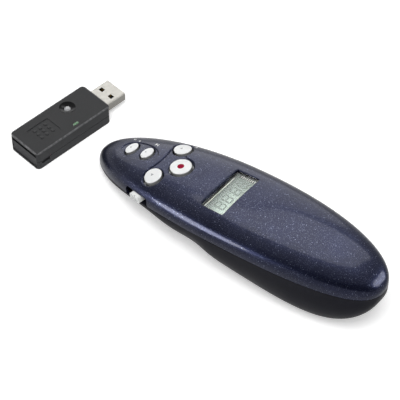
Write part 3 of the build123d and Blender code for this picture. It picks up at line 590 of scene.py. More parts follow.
class NodeBench:
    """Adds and links shader nodes in one tree."""

    colour_mix_inputs = (0, 6, 7)
    colour_mix_output = 2

    def __init__(self, tree: bpy.types.NodeTree) -> None:
        """Work on a tree."""
        self.tree = tree

    @classmethod
    def on(cls, owner: bpy.types.Material | bpy.types.World) -> "NodeBench":
        """Empty the nodes of a material or a world, and work on them.

        Args:
            owner: The material or world.

        Returns:
            A bench on its tree.
        """
        owner.use_nodes = True
        owner.node_tree.nodes.clear()
        return cls(owner.node_tree)

    def feed(self, socket: Socket, value: Value) -> None:
        """Link a socket to an input, or set the input to a constant.

        Args:
            socket: Input that is fed.
            value: Socket or constant.
        """
        if isinstance(value, Socket):
            self.tree.links.new(value, socket)
        else:
            socket.default_value = value

    def set(self, node: bpy.types.Node, **values: Value) -> None:
        """Feed a node's inputs by name, with underscores for blanks."""
        for name, value in values.items():
            self.feed(node.inputs[name.replace("_", " ")], value)

    def add(self, kind: str, settings: dict[str, object] | None = None, **values: Value) -> bpy.types.Node:
        """Add a node.

        Args:
            kind: Node type, without the words that all shader nodes start with.
            settings: Attributes of the node.
            **values: Inputs by name, with underscores for blanks.

        Returns:
            The new node.
        """
        node = self.tree.nodes.new(f"ShaderNode{kind}")
        for name, value in (settings or {}).items():
            setattr(node, name, value)
        self.set(node, **values)
        return node

    def math(self, how: str, first: Value, second: Value = 0.0, clamp: bool = False) -> Socket:
        """Add a maths node.

        Args:
            how: Operation.
            first: First value.
            second: Second value.
            clamp: Keep the result between 0 and 1.

        Returns:
            The result.
        """
        node = self.add("Math", {"operation": how, "use_clamp": clamp})
        self.feed(node.inputs[0], first)
        self.feed(node.inputs[1], second)
        return node.outputs[0]

    def chain(self, how: str, *values: Value) -> Socket:
        """Combine values from left to right with one operation.

        Args:
            how: Operation.
            *values: Sockets or numbers.

        Returns:
            The result.
        """
        result = values[0]
        for value in values[1:]:
            result = self.math(how, result, value)
        return result

    def vector(self, how: str, first: Value, second: Value | None = None) -> Socket:
        """Add a vector maths node.

        Args:
            how: Operation.
            first: First vector.
            second: Second vector, where the operation takes one.

        Returns:
            The result, a number for a length or a dot product.
        """
        node = self.add("VectorMath", {"operation": how})
        self.feed(node.inputs[0], first)
        if second is not None:
            self.feed(node.inputs[1], second)
        return node.outputs["Value" if how in ("LENGTH", "DOT_PRODUCT") else "Vector"]

    def ramp(self, source: Socket, low: Value, high: Value, to_low: float = 0.0,
             to_high: float = 1.0) -> Socket:
        """Map a value range to another, clamped."""
        return self.add("MapRange", {"clamp": True}, Value=source, From_Min=low, From_Max=high,
                        To_Min=to_low, To_Max=to_high).outputs["Result"]

    def mix(self, factor: Value, first: Value, second: Value) -> Socket:
        """Mix two colours, from the first at 0 to the second at 1.

        Args:
            factor: Share of the second colour.
            first: Colour at 0.
            second: Colour at 1.

        Returns:
            The mixed colour.
        """
        node = self.add("Mix", {"data_type": "RGBA"})
        for index, value in zip(self.colour_mix_inputs, (factor, first, second)):
            self.feed(node.inputs[index], value)
        return node.outputs[self.colour_mix_output]

    def local(self) -> Socket:
        """Place on the object, in its own coordinates."""
        return self.add("TexCoord").outputs["Object"]

    def split(self, vector: Socket) -> tuple[Socket, ...]:
        """X, Y and Z of a vector."""
        return tuple(self.add("SeparateXYZ", Vector=vector).outputs)

    def noise(self, scale: Value, detail: float = 3.0, roughness: float = 0.6, distortion: float = 0.0,
              place: Socket | None = None) -> Socket:
        """Noise over the object's own coordinates.

        Args:
            scale: Cells per metre.
            detail: Layers of finer noise.
            roughness: Strength of the finer layers.
            distortion: How much the noise bends itself.
            place: Other coordinates, if it doesn't use the object's own.

        Returns:
            The noise.
        """
        return self.add("TexNoise", Vector=place or self.local(), Scale=scale, Detail=detail,
                        Roughness=roughness, Distortion=distortion).outputs[0]


# ---------------------------------------------------------------------------------------
# Shader groups that more than one finish uses
# ---------------------------------------------------------------------------------------
class EffectGroup:
    """Base of the shared shader groups: each is built once and placed where it is needed."""

    title = "effect"
    inputs: dict[str, float] = {}
    outputs: tuple[str, ...] = ()

    def tree(self) -> bpy.types.NodeTree:
        """Build the group the first time.

        Returns:
            The group's tree.
        """
        found = bpy.data.node_groups.get(self.title)
        if found:
            return found
        made = bpy.data.node_groups.new(self.title, "ShaderNodeTree")
        for name, value in self.inputs.items():
            socket = made.interface.new_socket(name=name, in_out="INPUT", socket_type="NodeSocketFloat")
            socket.default_value = value
        for name in self.outputs:
            made.interface.new_socket(name=name, in_out="OUTPUT", socket_type="NodeSocketFloat")
        bench = NodeBench(made)
        given, result = made.nodes.new("NodeGroupInput"), made.nodes.new("NodeGroupOutput")
        for name, socket in zip(self.outputs, self.fill(bench, *list(given.outputs)[:len(self.inputs)])):
            bench.feed(result.inputs[name], socket)
        return made

    def fill(self, bench: NodeBench, *given: Socket) -> tuple[Socket, ...]:
        """Add the nodes between the group's inputs and outputs.

        Args:
            bench: Bench on the group's tree.
            *given: The group's inputs in order.

        Returns:
            What goes to each output, in order.
        """
        raise NotImplementedError

    def place(self, bench: NodeBench, **values: Value) -> bpy.types.bpy_prop_collection:
        """Put the group in a material.

        Args:
            bench: Bench on the material's tree.
            **values: Inputs by name, with underscores for blanks.

        Returns:
            The outputs, by name.
        """
        node = bench.add("Group", {"node_tree": self.tree()}, **values)
        return node.outputs


class MetalFlakes(EffectGroup):
    """Fine metal flakes under a clear coat: a mask, and a tone that differs from flake to flake."""

    title = "metal_flakes"
    inputs = {"Scale": 3000.0, "Share": 0.2, "Size": 0.35}
    outputs = ("Mask", "Tone", "Cloud")

    def fill(self, bench: NodeBench, scale: Socket, share: Socket, size: Socket) -> tuple[Socket, ...]:
        """Cells with a bright core in a share of them, and a slow cloud of tone.

        Args:
            bench: Bench on the group's tree.
            scale: Cells per metre.
            share: Share of the cells that hold a flake.
            size: Reach of a flake's core in its cell.

        Returns:
            Mask, tone and cloud.
        """
        cells = bench.add("TexVoronoi", {"voronoi_dimensions": "3D", "feature": "F1"},
                          Vector=bench.local(), Scale=scale, Randomness=1.0)
        parts = bench.add("SeparateColor", Color=cells.outputs["Color"]).outputs
        chosen = bench.math("LESS_THAN", parts[0], share)
        core = bench.math("LESS_THAN", cells.outputs["Distance"], size)
        return bench.math("MULTIPLY", chosen, core), parts[1], bench.ramp(bench.noise(60.0), 0.3, 0.7)


class MouldGrain(EffectGroup):
    """Spark-eroded mould texture: a height for the bump, a change of roughness and a slow tone."""

    title = "mould_grain"
    inputs = {"Scale": 4000.0}
    outputs = ("Height", "Rough", "Tone")
    change = 0.05

    def fill(self, bench: NodeBench, scale: Socket) -> tuple[Socket, ...]:
        """Fine noise over a slow one.

        Args:
            bench: Bench on the group's tree.
            scale: Cells per metre.

        Returns:
            Height, change of roughness and tone.
        """
        slow = bench.noise(90.0, detail=4.0)
        rough = bench.ramp(slow, 0.3, 0.7, -self.change, self.change)
        return bench.noise(scale, detail=2.0, roughness=0.55), rough, bench.ramp(slow, 0.3, 0.7)


class EdgeWear(EffectGroup):
    """Rubbed edges: a mask on convex edges, broken up by noise."""

    title = "edge_wear"
    inputs = {"Start": 0.52, "End": 0.60, "Amount": 0.6}
    outputs = ("Mask",)

    def fill(self, bench: NodeBench, start: Socket, end: Socket, amount: Socket) -> tuple[Socket, ...]:
        """Pointiness between two limits, times noise.

        Args:
            bench: Bench on the group's tree.
            start: Pointiness at which the wear starts.
            end: Pointiness at which it is full.
            amount: Strength of the mask.

        Returns:
            The mask.
        """
        edge = bench.ramp(bench.add("NewGeometry").outputs["Pointiness"], start, end)
        broken = bench.ramp(bench.noise(700.0), 0.35, 0.6)
        return (bench.math("MULTIPLY", bench.math("MULTIPLY", edge, broken), amount, clamp=True),)


class RestingDust(EffectGroup):
    """Faint dust on faces that look up, the smears that hands leave, and a mask of the steep faces, which the
    plastics use for painted shade and painted light on their flanks.
    """

    title = "resting_dust"
    inputs = {"Amount": 0.05}
    outputs = ("Mask", "Smear", "Steep")

    def fill(self, bench: NodeBench, amount: Socket) -> tuple[Socket, ...]:
        """Upward share of the normal times fine noise, a slow smear, and the share that looks sideways.

        Args:
            bench: Bench on the group's tree.
            amount: Strength of the mask.

        Returns:
            Mask, smear and steepness.
        """
        upward = bench.split(bench.add("NewGeometry").outputs["Normal"])[2]
        specks = bench.ramp(bench.noise(1500.0, roughness=0.7), 0.55, 0.75)
        dust = bench.chain("MULTIPLY", bench.ramp(upward, 0.3, 1.0), specks, amount)
        smear = bench.ramp(bench.noise(35.0, detail=2.0, roughness=0.5, distortion=1.2), 0.35, 0.65)
        return dust, smear, bench.ramp(upward, 0.78, 0.45)


class BrushLines(EffectGroup):
    """Fine drawn lines of sheet and turned metal, along one axis."""

    title = "brush_lines"
    inputs = {"Along X": 60.0, "Along Y": 4000.0, "Along Z": 4000.0}
    outputs = ("Height", "Rough")
    change = 0.06

    def fill(self, bench: NodeBench, x: Socket, y: Socket, z: Socket) -> tuple[Socket, ...]:
        """Noise stretched along one axis.

        Args:
            bench: Bench on the group's tree.
            x: Lines per metre along X.
            y: Lines per metre along Y.
            z: Lines per metre along Z.

        Returns:
            Height and change of roughness.
        """
        scale = bench.add("CombineXYZ", X=x, Y=y, Z=z).outputs[0]
        lines = bench.noise(1.0, place=bench.vector("MULTIPLY", bench.local(), scale))
        return lines, bench.ramp(lines, 0.3, 0.7, -self.change, self.change)


# ---------------------------------------------------------------------------------------
# Finishes
# ---------------------------------------------------------------------------------------
def tinted(colour: Colour, share: float) -> Colour:
    """Colour with its brightness multiplied by a share."""
    return tuple(share * c for c in colour[:3]) + (1,)


@dataclass(frozen=True)
class Grain:
    """Mould texture: its cells per metre, its depth in millimetres and its strength."""

    scale: float = 3500.0
    depth: float = 0.02
    strength: float = 0.25


@dataclass(frozen=True)
class Finish:
    """Base of the finishes: a named material with one principled shader."""

    name: str = "finish"

    def material(self) -> bpy.types.Material:
        """Make the material the first time, and find it again later.

        Returns:
            The material.
        """
        found = bpy.data.materials.get(self.name)
        if found:
            return found
        made = bpy.data.materials.new(self.name)
        bench = NodeBench.on(made)
        shader = bench.add("BsdfPrincipled")
        bench.add("OutputMaterial", Surface=shader.outputs[0])
        self.dress(bench, shader)
        return made

    def dress(self, bench: NodeBench, shader: bpy.types.Node) -> None:
        """Set the shader's own values and feed it.

        Args:
            bench: Bench on the material's tree.
            shader: The principled shader.
        """
        raise NotImplementedError

    @staticmethod
    def bump(bench: NodeBench, height: Socket, strength: float, distance: float) -> Socket:
        """Turn a height into a normal.

        Args:
            bench: Bench on the material's tree.
            height: Height between 0 and 1.
            strength: Strength of the bump.
            distance: Depth in millimetres.

        Returns:
            The normal.
        """
        return bench.add("Bump", Strength=strength, Distance=distance * MM, Height=height).outputs[0]


@dataclass(frozen=True)
class FlakedLacquer(Finish):
    """Dark blue lacquer with metal flakes under a clear coat."""

    name: str = "navy_flake_lacquer"
    deep: Colour = (0.0076, 0.0094, 0.0250, 1)
    light: Colour = (0.0118, 0.0146, 0.0360, 1)
    flake: Colour = (0.26, 0.29, 0.42, 1)
    bare: Colour = (0.05, 0.055, 0.08, 1)
    dust: Colour = (0.30, 0.30, 0.30, 1)
    roughness: Pair = (0.28, 0.36)
    metallic: Pair = (0.68, 0.92)
    coat: Pair = (0.25, 0.30)

    @staticmethod
    def flakes(bench: NodeBench, layer: bpy.types.bpy_prop_collection, faint: float, bright: float) -> Socket:
        """Strength of one size of flake, from the faint ones to the bright ones."""
        return bench.math("MULTIPLY", layer["Mask"], bench.ramp(layer["Tone"], 0, 1, faint, bright))

    def dress(self, bench: NodeBench, shader: bpy.types.Node) -> None:
        """Two sizes of flake over a clouded base, edge wear, thin dust and smears.

        Args:
            bench: Bench on the material's tree.
            shader: The principled shader.
        """
        fine = MetalFlakes().place(bench, Scale=5200.0, Share=0.16, Size=0.42)
        coarse = MetalFlakes().place(bench, Scale=2600.0, Share=0.04, Size=0.32)
        dust = RestingDust().place(bench, Amount=0.05)
        worn = EdgeWear().place(bench, Start=0.56, End=0.66, Amount=0.25)
        flakes = bench.math("MAXIMUM", self.flakes(bench, fine, 0.05, 0.45),
                            self.flakes(bench, coarse, 0.2, 1.0))
        flaked = bench.mix(flakes, bench.mix(fine["Cloud"], self.deep, self.light), self.flake)
        bench.set(shader, Specular_IOR_Level=0.08, Coat_Roughness=0.09, Coat_IOR=1.45,
                  Base_Color=bench.mix(dust["Mask"], bench.mix(worn["Mask"], flaked, self.bare), self.dust),
                  Metallic=bench.ramp(flakes, 0, 1, *self.metallic),
                  Roughness=bench.ramp(dust["Smear"], 0, 1, *self.roughness),
                  Coat_Weight=bench.ramp(dust["Smear"], 0, 1, *self.coat),
                  Normal=self.bump(bench, fine["Tone"], strength=0.12, distance=0.01))


@dataclass(frozen=True)
class MouldedPlastic(Finish):
    """Moulded plastic with mould grain, faint dust, edge wear, and painted shade on the flanks, which a
    negative share turns into painted light.
    """

    name: str = "moulded"
    colour: Colour = (0.02, 0.02, 0.024, 1)
    # Colour of worn edges; the receiver's lid also uses it for its painted rim highlight.
    worn: Colour = (0.08, 0.08, 0.09, 1)
    roughness: float = 0.42
    grain: Grain = Grain()
    dust: float = 0.06
    specular: float = 0.5
    wear: float = 0.4
    # Share of painted shade on the steep flanks; a negative share paints light there instead.
    painted_flank_shade: float = 0.0
    uneven: float = 0.88
    dust_colour: Colour = (0.45, 0.44, 0.42, 1)

    def dress(self, bench: NodeBench, shader: bpy.types.Node) -> None:
        """Grain for bump and roughness, dust and wear for colour, and painted shade on the flanks, which a
        negative share turns into painted light.

        Args:
            bench: Bench on the material's tree.
            shader: The principled shader.
        """
        grain = MouldGrain().place(bench, Scale=self.grain.scale)
        dust = RestingDust().place(bench, Amount=self.dust)
        wear = EdgeWear().place(bench, Amount=self.wear)
        tone = bench.mix(grain["Tone"], tinted(self.colour, self.uneven), self.colour)
        colour = bench.mix(dust["Mask"], bench.mix(wear["Mask"], tone, self.worn), self.dust_colour)
        # Painted shade darkens the steep flanks; a negative share lightens them with painted light.
        if self.painted_flank_shade:
            colour = bench.mix(dust["Steep"], colour, tinted(self.colour, 1 - self.painted_flank_shade))
        bench.set(shader, Specular_IOR_Level=self.specular, Base_Color=colour,
                  Roughness=bench.math("ADD", grain["Rough"], self.roughness, clamp=True),
                  Normal=self.bump(bench, grain["Height"], self.grain.strength, self.grain.depth))


@dataclass(frozen=True)
class DishedLid(MouldedPlastic):
    """Moulded plastic of the receiver's case, with a painted highlight along its upper rim and one polished
    round dish.
    """

    dish_at: Pair = (141.28, -6.15)
    dish_radius: float = 3.75
    dish_soft: Pair = (0.05, 0.1)
    dish_tone: float = 0.3
    polished: float = 0.14
    # Reach of the painted rim highlight inside the case's edge and below its top.
    rim_inside: Pair = (0.75, 0.4)
    rim_below: Pair = (0.8, 0.45)

    @staticmethod
    def away_from(bench: NodeBench, centre: Pair) -> Socket:
        """Place on the object, counted from a line along Z."""
        return bench.vector("SUBTRACT", bench.local(), (centre[0] * MM, centre[1] * MM, 0))

    def rim(self, bench: NodeBench) -> Socket:
        """Mask of the painted highlight line along the case's upper edge.

        Args:
            bench: Bench on the material's tree.

        Returns:
            The mask.
        """
        turned = bench.add("VectorRotate", {"rotation_type": "Z_AXIS"}, Angle=math.radians(-CASE.turn),
                           Vector=self.away_from(bench, CASE.centre))
        x, y, z = bench.split(turned.outputs[0])
        reach = [bench.math("SUBTRACT", bench.math("ABSOLUTE", axis), half * MM)
                 for axis, half in zip((x, y), CASE.half)]
        side = bench.ramp(bench.math("MAXIMUM", *reach), *(-inside * MM for inside in self.rim_inside))
        height = bench.ramp(z, *((CASE.height - below) * MM for below in self.rim_below))
        return bench.chain("MULTIPLY", side, height, bench.ramp(bench.noise(500.0), 0.2, 0.6))

    def dress(self, bench: NodeBench, shader: bpy.types.Node) -> None:
        """As moulded plastic, with a painted highlight on the rim and a darker and smoother dish.

        Args:
            bench: Bench on the material's tree.
            shader: The principled shader.
        """
        super().dress(bench, shader)
        flat = bench.vector("MULTIPLY", self.away_from(bench, self.dish_at), (1, 1, 0))
        inside = bench.ramp(bench.vector("LENGTH", flat), (self.dish_radius + self.dish_soft[0]) * MM,
                            (self.dish_radius - self.dish_soft[1]) * MM)
        colour, rough = (shader.inputs[name].links[0].from_socket for name in ("Base Color", "Roughness"))
        # Painted highlight: the line along the lid's upper rim takes the lighter second colour.
        painted_rim_highlight = bench.mix(self.rim(bench), colour, self.worn)
        step = bench.math("MULTIPLY", inside, bench.math("SUBTRACT", self.polished, rough))
        bench.set(shader, Base_Color=bench.mix(inside, painted_rim_highlight, tinted(self.colour, self.dish_tone)),
                  Roughness=bench.math("ADD", rough, step))


@dataclass(frozen=True)
class SheetMetal(Finish):
    """Drawn or turned metal with fine lines."""

    name: str = "sheet_metal"
    colour: Colour = (0.72, 0.71, 0.69, 1)
    dull: Colour = (0.50, 0.49, 0.47, 1)
    roughness: float = 0.24
    lines: Point = (60.0, 4000.0, 4000.0)

    def dress(self, bench: NodeBench, shader: bpy.types.Node) -> None:
        """Line bump, and duller patches of handling.

        Args:
            bench: Bench on the material's tree.
            shader: The principled shader.
        """
        lines = BrushLines().place(bench, Along_X=self.lines[0], Along_Y=self.lines[1], Along_Z=self.lines[2])
        dust = RestingDust().place(bench, Amount=0.05)
        handled = bench.math("MULTIPLY", dust["Smear"], 0.45)
        bench.set(shader, Metallic=1.0, Base_Color=bench.mix(handled, self.colour, self.dull),
                  Roughness=bench.math("ADD", lines["Rough"], self.roughness, clamp=True),
                  Normal=self.bump(bench, lines["Height"], strength=0.15, distance=0.01))


@dataclass(frozen=True)
class ClearMoulding(Finish):
    """Clear or tinted moulded pane."""

    name: str = "clear_pane"
    tint: Colour = (0.93, 0.95, 0.93, 1)
    roughness: float = 0.03
    index: float = 1.49
    clear: float = 1.0
    smears: float = 0.04
    dust_colour: Colour = (0.8, 0.8, 0.8, 1)

    def dress(self, bench: NodeBench, shader: bpy.types.Node) -> None:
        """Transmission with faint smears in the roughness.

        Args:
            bench: Bench on the material's tree.
            shader: The principled shader.
        """
        dust = RestingDust().place(bench, Amount=0.02)
        bench.set(shader, Transmission_Weight=self.clear, IOR=self.index,
                  Base_Color=bench.mix(dust["Mask"], self.tint, self.dust_colour),
                  Roughness=bench.ramp(dust["Smear"], 0, 1, self.roughness, self.roughness + self.smears))


@dataclass(frozen=True)
class DisplayFilm(Finish):
    """Grey-green display glass with painted shade toward the nose and toward one end."""

    name: str = "display_film"
    light: Colour = (0.44, 0.50, 0.47, 1)
    shade: Colour = (0.09, 0.10, 0.097, 1)
    across: Pair = (41.0, 48.2)
    along: Pair = (-11.0, 3.0)
    end_shade: float = 0.8
    uneven: float = 0.06
    roughness: float = 0.28

    def dress(self, bench: NodeBench, shader: bpy.types.Node) -> None:
        """Two soft gradients of painted shade, with fine grain.

        Args:
            bench: Bench on the material's tree.
            shader: The principled shader.
        """
        x, y, _ = bench.split(bench.local())
        toward_nose = bench.ramp(x, *(at * MM for at in self.across))
        toward_end = bench.ramp(y, *(at * MM for at in self.along), self.end_shade, 0.0)
        grain = MouldGrain().place(bench, Scale=2500.0)
        uneven = bench.ramp(grain["Tone"], 0, 1, -self.uneven, self.uneven)
        shade = bench.math("ADD", bench.math("MAXIMUM", toward_nose, toward_end), uneven, clamp=True)
        bench.set(shader, Specular_IOR_Level=0.12, Base_Color=bench.mix(shade, self.light, self.shade),
                  Roughness=bench.math("ADD", grain["Rough"], self.roughness, clamp=True),
                  Normal=self.bump(bench, grain["Height"], strength=0.05, distance=0.01))


@dataclass(frozen=True)
class SolderMask(Finish):
    """Green board lacquer over copper tracks."""

    name: str = "solder_mask"
    colour: Colour = (0.02, 0.13, 0.05, 1)
    track: Colour = (0.04, 0.24, 0.09, 1)
    roughness: float = 0.30

    def dress(self, bench: NodeBench, shader: bpy.types.Node) -> None:
        """Blocky tracks a little lighter and higher than the ground.

        Args:
            bench: Bench on the material's tree.
            shader: The principled shader.
        """
        cells = bench.add("TexVoronoi", {"distance": "CHEBYCHEV", "feature": "F1"},
                          Vector=bench.local(), Scale=420.0, Randomness=0.75)
        tracks = bench.ramp(cells.outputs["Distance"], 0.30, 0.34)
        grain = MouldGrain().place(bench, Scale=5000.0)
        bench.set(shader, Base_Color=bench.mix(tracks, self.track, self.colour),
                  Roughness=bench.math("ADD", grain["Rough"], self.roughness, clamp=True),
                  Normal=self.bump(bench, tracks, strength=0.2, distance=0.03))


@dataclass(frozen=True)
class BandedRubber(Finish):
    """Contact rubber in thin conducting and insulating bands."""

    name: str = "banded_rubber"
    dark: Colour = (0.03, 0.03, 0.03, 1)
    pale: Colour = (0.55, 0.28, 0.30, 1)
    roughness: Pair = (0.6, 0.75)

    def dress(self, bench: NodeBench, shader: bpy.types.Node) -> None:
        """Bands across Y.

        Args:
            bench: Bench on the material's tree.
            shader: The principled shader.
        """
        bands = bench.add("TexWave", {"wave_type": "BANDS", "bands_direction": "Y"},
                          Vector=bench.local(), Scale=500.0, Distortion=0.2).outputs["Fac"]
        bench.set(shader, Base_Color=bench.mix(bands, self.dark, self.pale),
                  Roughness=bench.ramp(bands, 0, 1, *self.roughness))


class Palette:
    """Every finish of the set, by the record's material slot."""

    finishes: dict[str, Finish] = {
        "top_shell": FlakedLacquer(),
        "bottom_shell": MouldedPlastic(
            "satin_black", (0.0052, 0.0054, 0.0105, 1), (0.03, 0.031, 0.042, 1), roughness=0.40,
            grain=Grain(5200.0, 0.012, 0.2), dust=0.0, specular=0.06),
        "battery_door": MouldedPlastic(
            "satin_black_door", (0.0075, 0.0077, 0.0125, 1), (0.04, 0.041, 0.052, 1), roughness=0.40,
            grain=Grain(4200.0, 0.016, 0.25), dust=0.01, specular=0.10),
        # Key flanks get painted shade, standing in for the shadow in the gap round each key.
        "white_key": MouldedPlastic(
            "white_key_plastic", (0.88, 0.89, 0.89, 1), (0.88, 0.88, 0.87, 1), roughness=0.30,
            grain=Grain(3000.0, 0.008, 0.12), dust=0.01, wear=0.2, painted_flank_shade=0.72),
        "key_dot": MouldedPlastic(
            "red_print", (0.32, 0.005, 0.034, 1), (0.34, 0.01, 0.04, 1), roughness=0.42,
            grain=Grain(3000.0, 0.006, 0.1), dust=0.0, specular=0.03, wear=0.1),
        "window_pane": ClearMoulding(index=1.14),
        "mask_ink": MouldedPlastic(
            "mask_ink", (0.012, 0.013, 0.014, 1), (0.03, 0.03, 0.03, 1), roughness=0.5,
            grain=Grain(4000.0, 0.004, 0.1), dust=0.0, specular=0.1),
        "display_glass": DisplayFilm(),
        "reflector": MouldedPlastic(
            "reflector_film", (0.80, 0.81, 0.76, 1), (0.8, 0.8, 0.78, 1), roughness=0.5,
            grain=Grain(4000.0, 0.01, 0.2)),
        "holder": MouldedPlastic(
            "natural_holder", (0.62, 0.61, 0.57, 1), (0.7, 0.7, 0.66, 1), roughness=0.5,
            grain=Grain(3000.0, 0.01, 0.2)),
        "zebra": BandedRubber(),
        "board": SolderMask(),
        "switch_body": MouldedPlastic(
            "switch_black", (0.02, 0.02, 0.02, 1), (0.08, 0.08, 0.08, 1), roughness=0.45,
            grain=Grain(4000.0, 0.01, 0.2)),
        "plunger": MouldedPlastic(
            "plunger_black", (0.03, 0.03, 0.03, 1), (0.1, 0.1, 0.1, 1), roughness=0.38,
            grain=Grain(4000.0, 0.01, 0.2)),
        "chip": MouldedPlastic(
            "chip_epoxy", (0.015, 0.015, 0.016, 1), (0.06, 0.06, 0.06, 1), roughness=0.55,
            grain=Grain(6000.0, 0.02, 0.35)),
        "crystal_can": SheetMetal("crystal_can", (0.66, 0.66, 0.64, 1), (0.5, 0.5, 0.48, 1), 0.3),
        "slide_knob": MouldedPlastic(
            "slide_knob_plastic", (0.84, 0.86, 0.85, 1), (0.86, 0.86, 0.86, 1), roughness=0.30,
            grain=Grain(3000.0, 0.01, 0.15), dust=0.01),
        "slide_switch_metal": SheetMetal("switch_can", (0.62, 0.62, 0.60, 1), (0.5, 0.5, 0.48, 1), 0.3),
        "laser_brass": SheetMetal(
            "turned_brass", (0.62, 0.42, 0.17, 1), (0.4, 0.27, 0.12, 1), 0.28, lines=(4000.0, 60.0, 60.0)),
        "laser_glass": ClearMoulding("lens_glass", (0.90, 0.94, 0.94, 1), 0.02),
        "exit_window": ClearMoulding("smoked_red", (0.35, 0.02, 0.02, 1), 0.06),
        "cell_can": SheetMetal("cell_sleeve", (0.20, 0.22, 0.26, 1), (0.14, 0.15, 0.18, 1), 0.35),
        "nickel": SheetMetal("nickel_plate", (0.66, 0.63, 0.57, 1), (0.5, 0.47, 0.42, 1), 0.25),
        "screw_steel": SheetMetal("zinc_screw", (0.52, 0.53, 0.55, 1), (0.36, 0.36, 0.37, 1), 0.33),
        # The case's flanks get painted light, so they come out lighter than the top.
        "receiver_case": DishedLid(
            # Its second colour is the painted highlight along the lid's upper rim; edge wear is off.
            "charcoal_case", (0.021, 0.0215, 0.0228, 1), (0.14, 0.14, 0.146, 1), roughness=0.42,
            grain=Grain(3600.0, 0.02, 0.30), dust=0.01, specular=0.115, wear=0.0, painted_flank_shade=-1.1),
        "plug_metal": SheetMetal(
            "plug_sheet", (0.305, 0.298, 0.277, 1), (0.265, 0.257, 0.237, 1), 0.5,
            lines=(900.0, 900.0, 900.0)),
        "tongue": MouldedPlastic(
            "tongue_black", (0.012, 0.012, 0.013, 1), (0.05, 0.05, 0.05, 1), roughness=0.5,
            grain=Grain(3000.0, 0.01, 0.15), dust=0.02, specular=0.3),
        "gold": SheetMetal("gold_plate", (0.78, 0.52, 0.20, 1), (0.6, 0.4, 0.16, 1), 0.22),
        "grey_key": MouldedPlastic(
            "grey_key_plastic", (0.36, 0.365, 0.375, 1), (0.5, 0.5, 0.5, 1), roughness=0.26,
            grain=Grain(3000.0, 0.006, 0.1), dust=0.02),
        "lamp": ClearMoulding("light_pipe", (0.012, 0.16, 0.025, 1), 0.14, clear=0.3),
        "led": MouldedPlastic(
            "led_body", (0.60, 0.60, 0.50, 1), (0.7, 0.7, 0.6, 1), roughness=0.35,
            grain=Grain(3000.0, 0.01, 0.1)),
    }
    print_grey = MouldedPlastic(
        "grey_print", (0.33, 0.34, 0.36, 1), (0.4, 0.4, 0.4, 1), roughness=0.45,
        grain=Grain(6000.0, 0.004, 0.1), dust=0.0)
    segment_ink = MouldedPlastic(
        "segment_ink", (0.16, 0.18, 0.17, 1), (0.17, 0.19, 0.18, 1), roughness=0.35,
        grain=Grain(6000.0, 0.004, 0.1), dust=0.0, specular=0.3)

    @staticmethod
    def coat(obj: bpy.types.Object, finish: Finish) -> None:
        """Give an object one finish."""
        obj.data.materials.clear()
        obj.data.materials.append(finish.material())

    @classmethod
    def dress_nodes(cls) -> int:
        """Give every CAD node the finish of its slot.

        Returns:
            Number of nodes.
        """
        slots = {row["node"]: row["material_slot"] for row in frame["record"]["subparts"]}
        for name, node in frame["nodes"].items():
            cls.coat(node, cls.finishes[slots[name]])
        return len(slots)

    @classmethod
    def dress(cls, obj: bpy.types.Object, slot: str, body: str, *nodes: str,
              finish: Finish | None = None) -> bpy.types.Object:
        """Finish a new piece.

        Args:
            obj: The piece.
            slot: Record's material slot whose finish it takes.
            body: CAD body it rides on.
            *nodes: CAD nodes it stands for.
            finish: Another finish, if the slot's own isn't right.

        Returns:
            The piece.
        """
        cls.coat(obj, finish or cls.finishes[slot])
        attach(obj, body)
        if nodes:
            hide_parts(*nodes)
        return obj


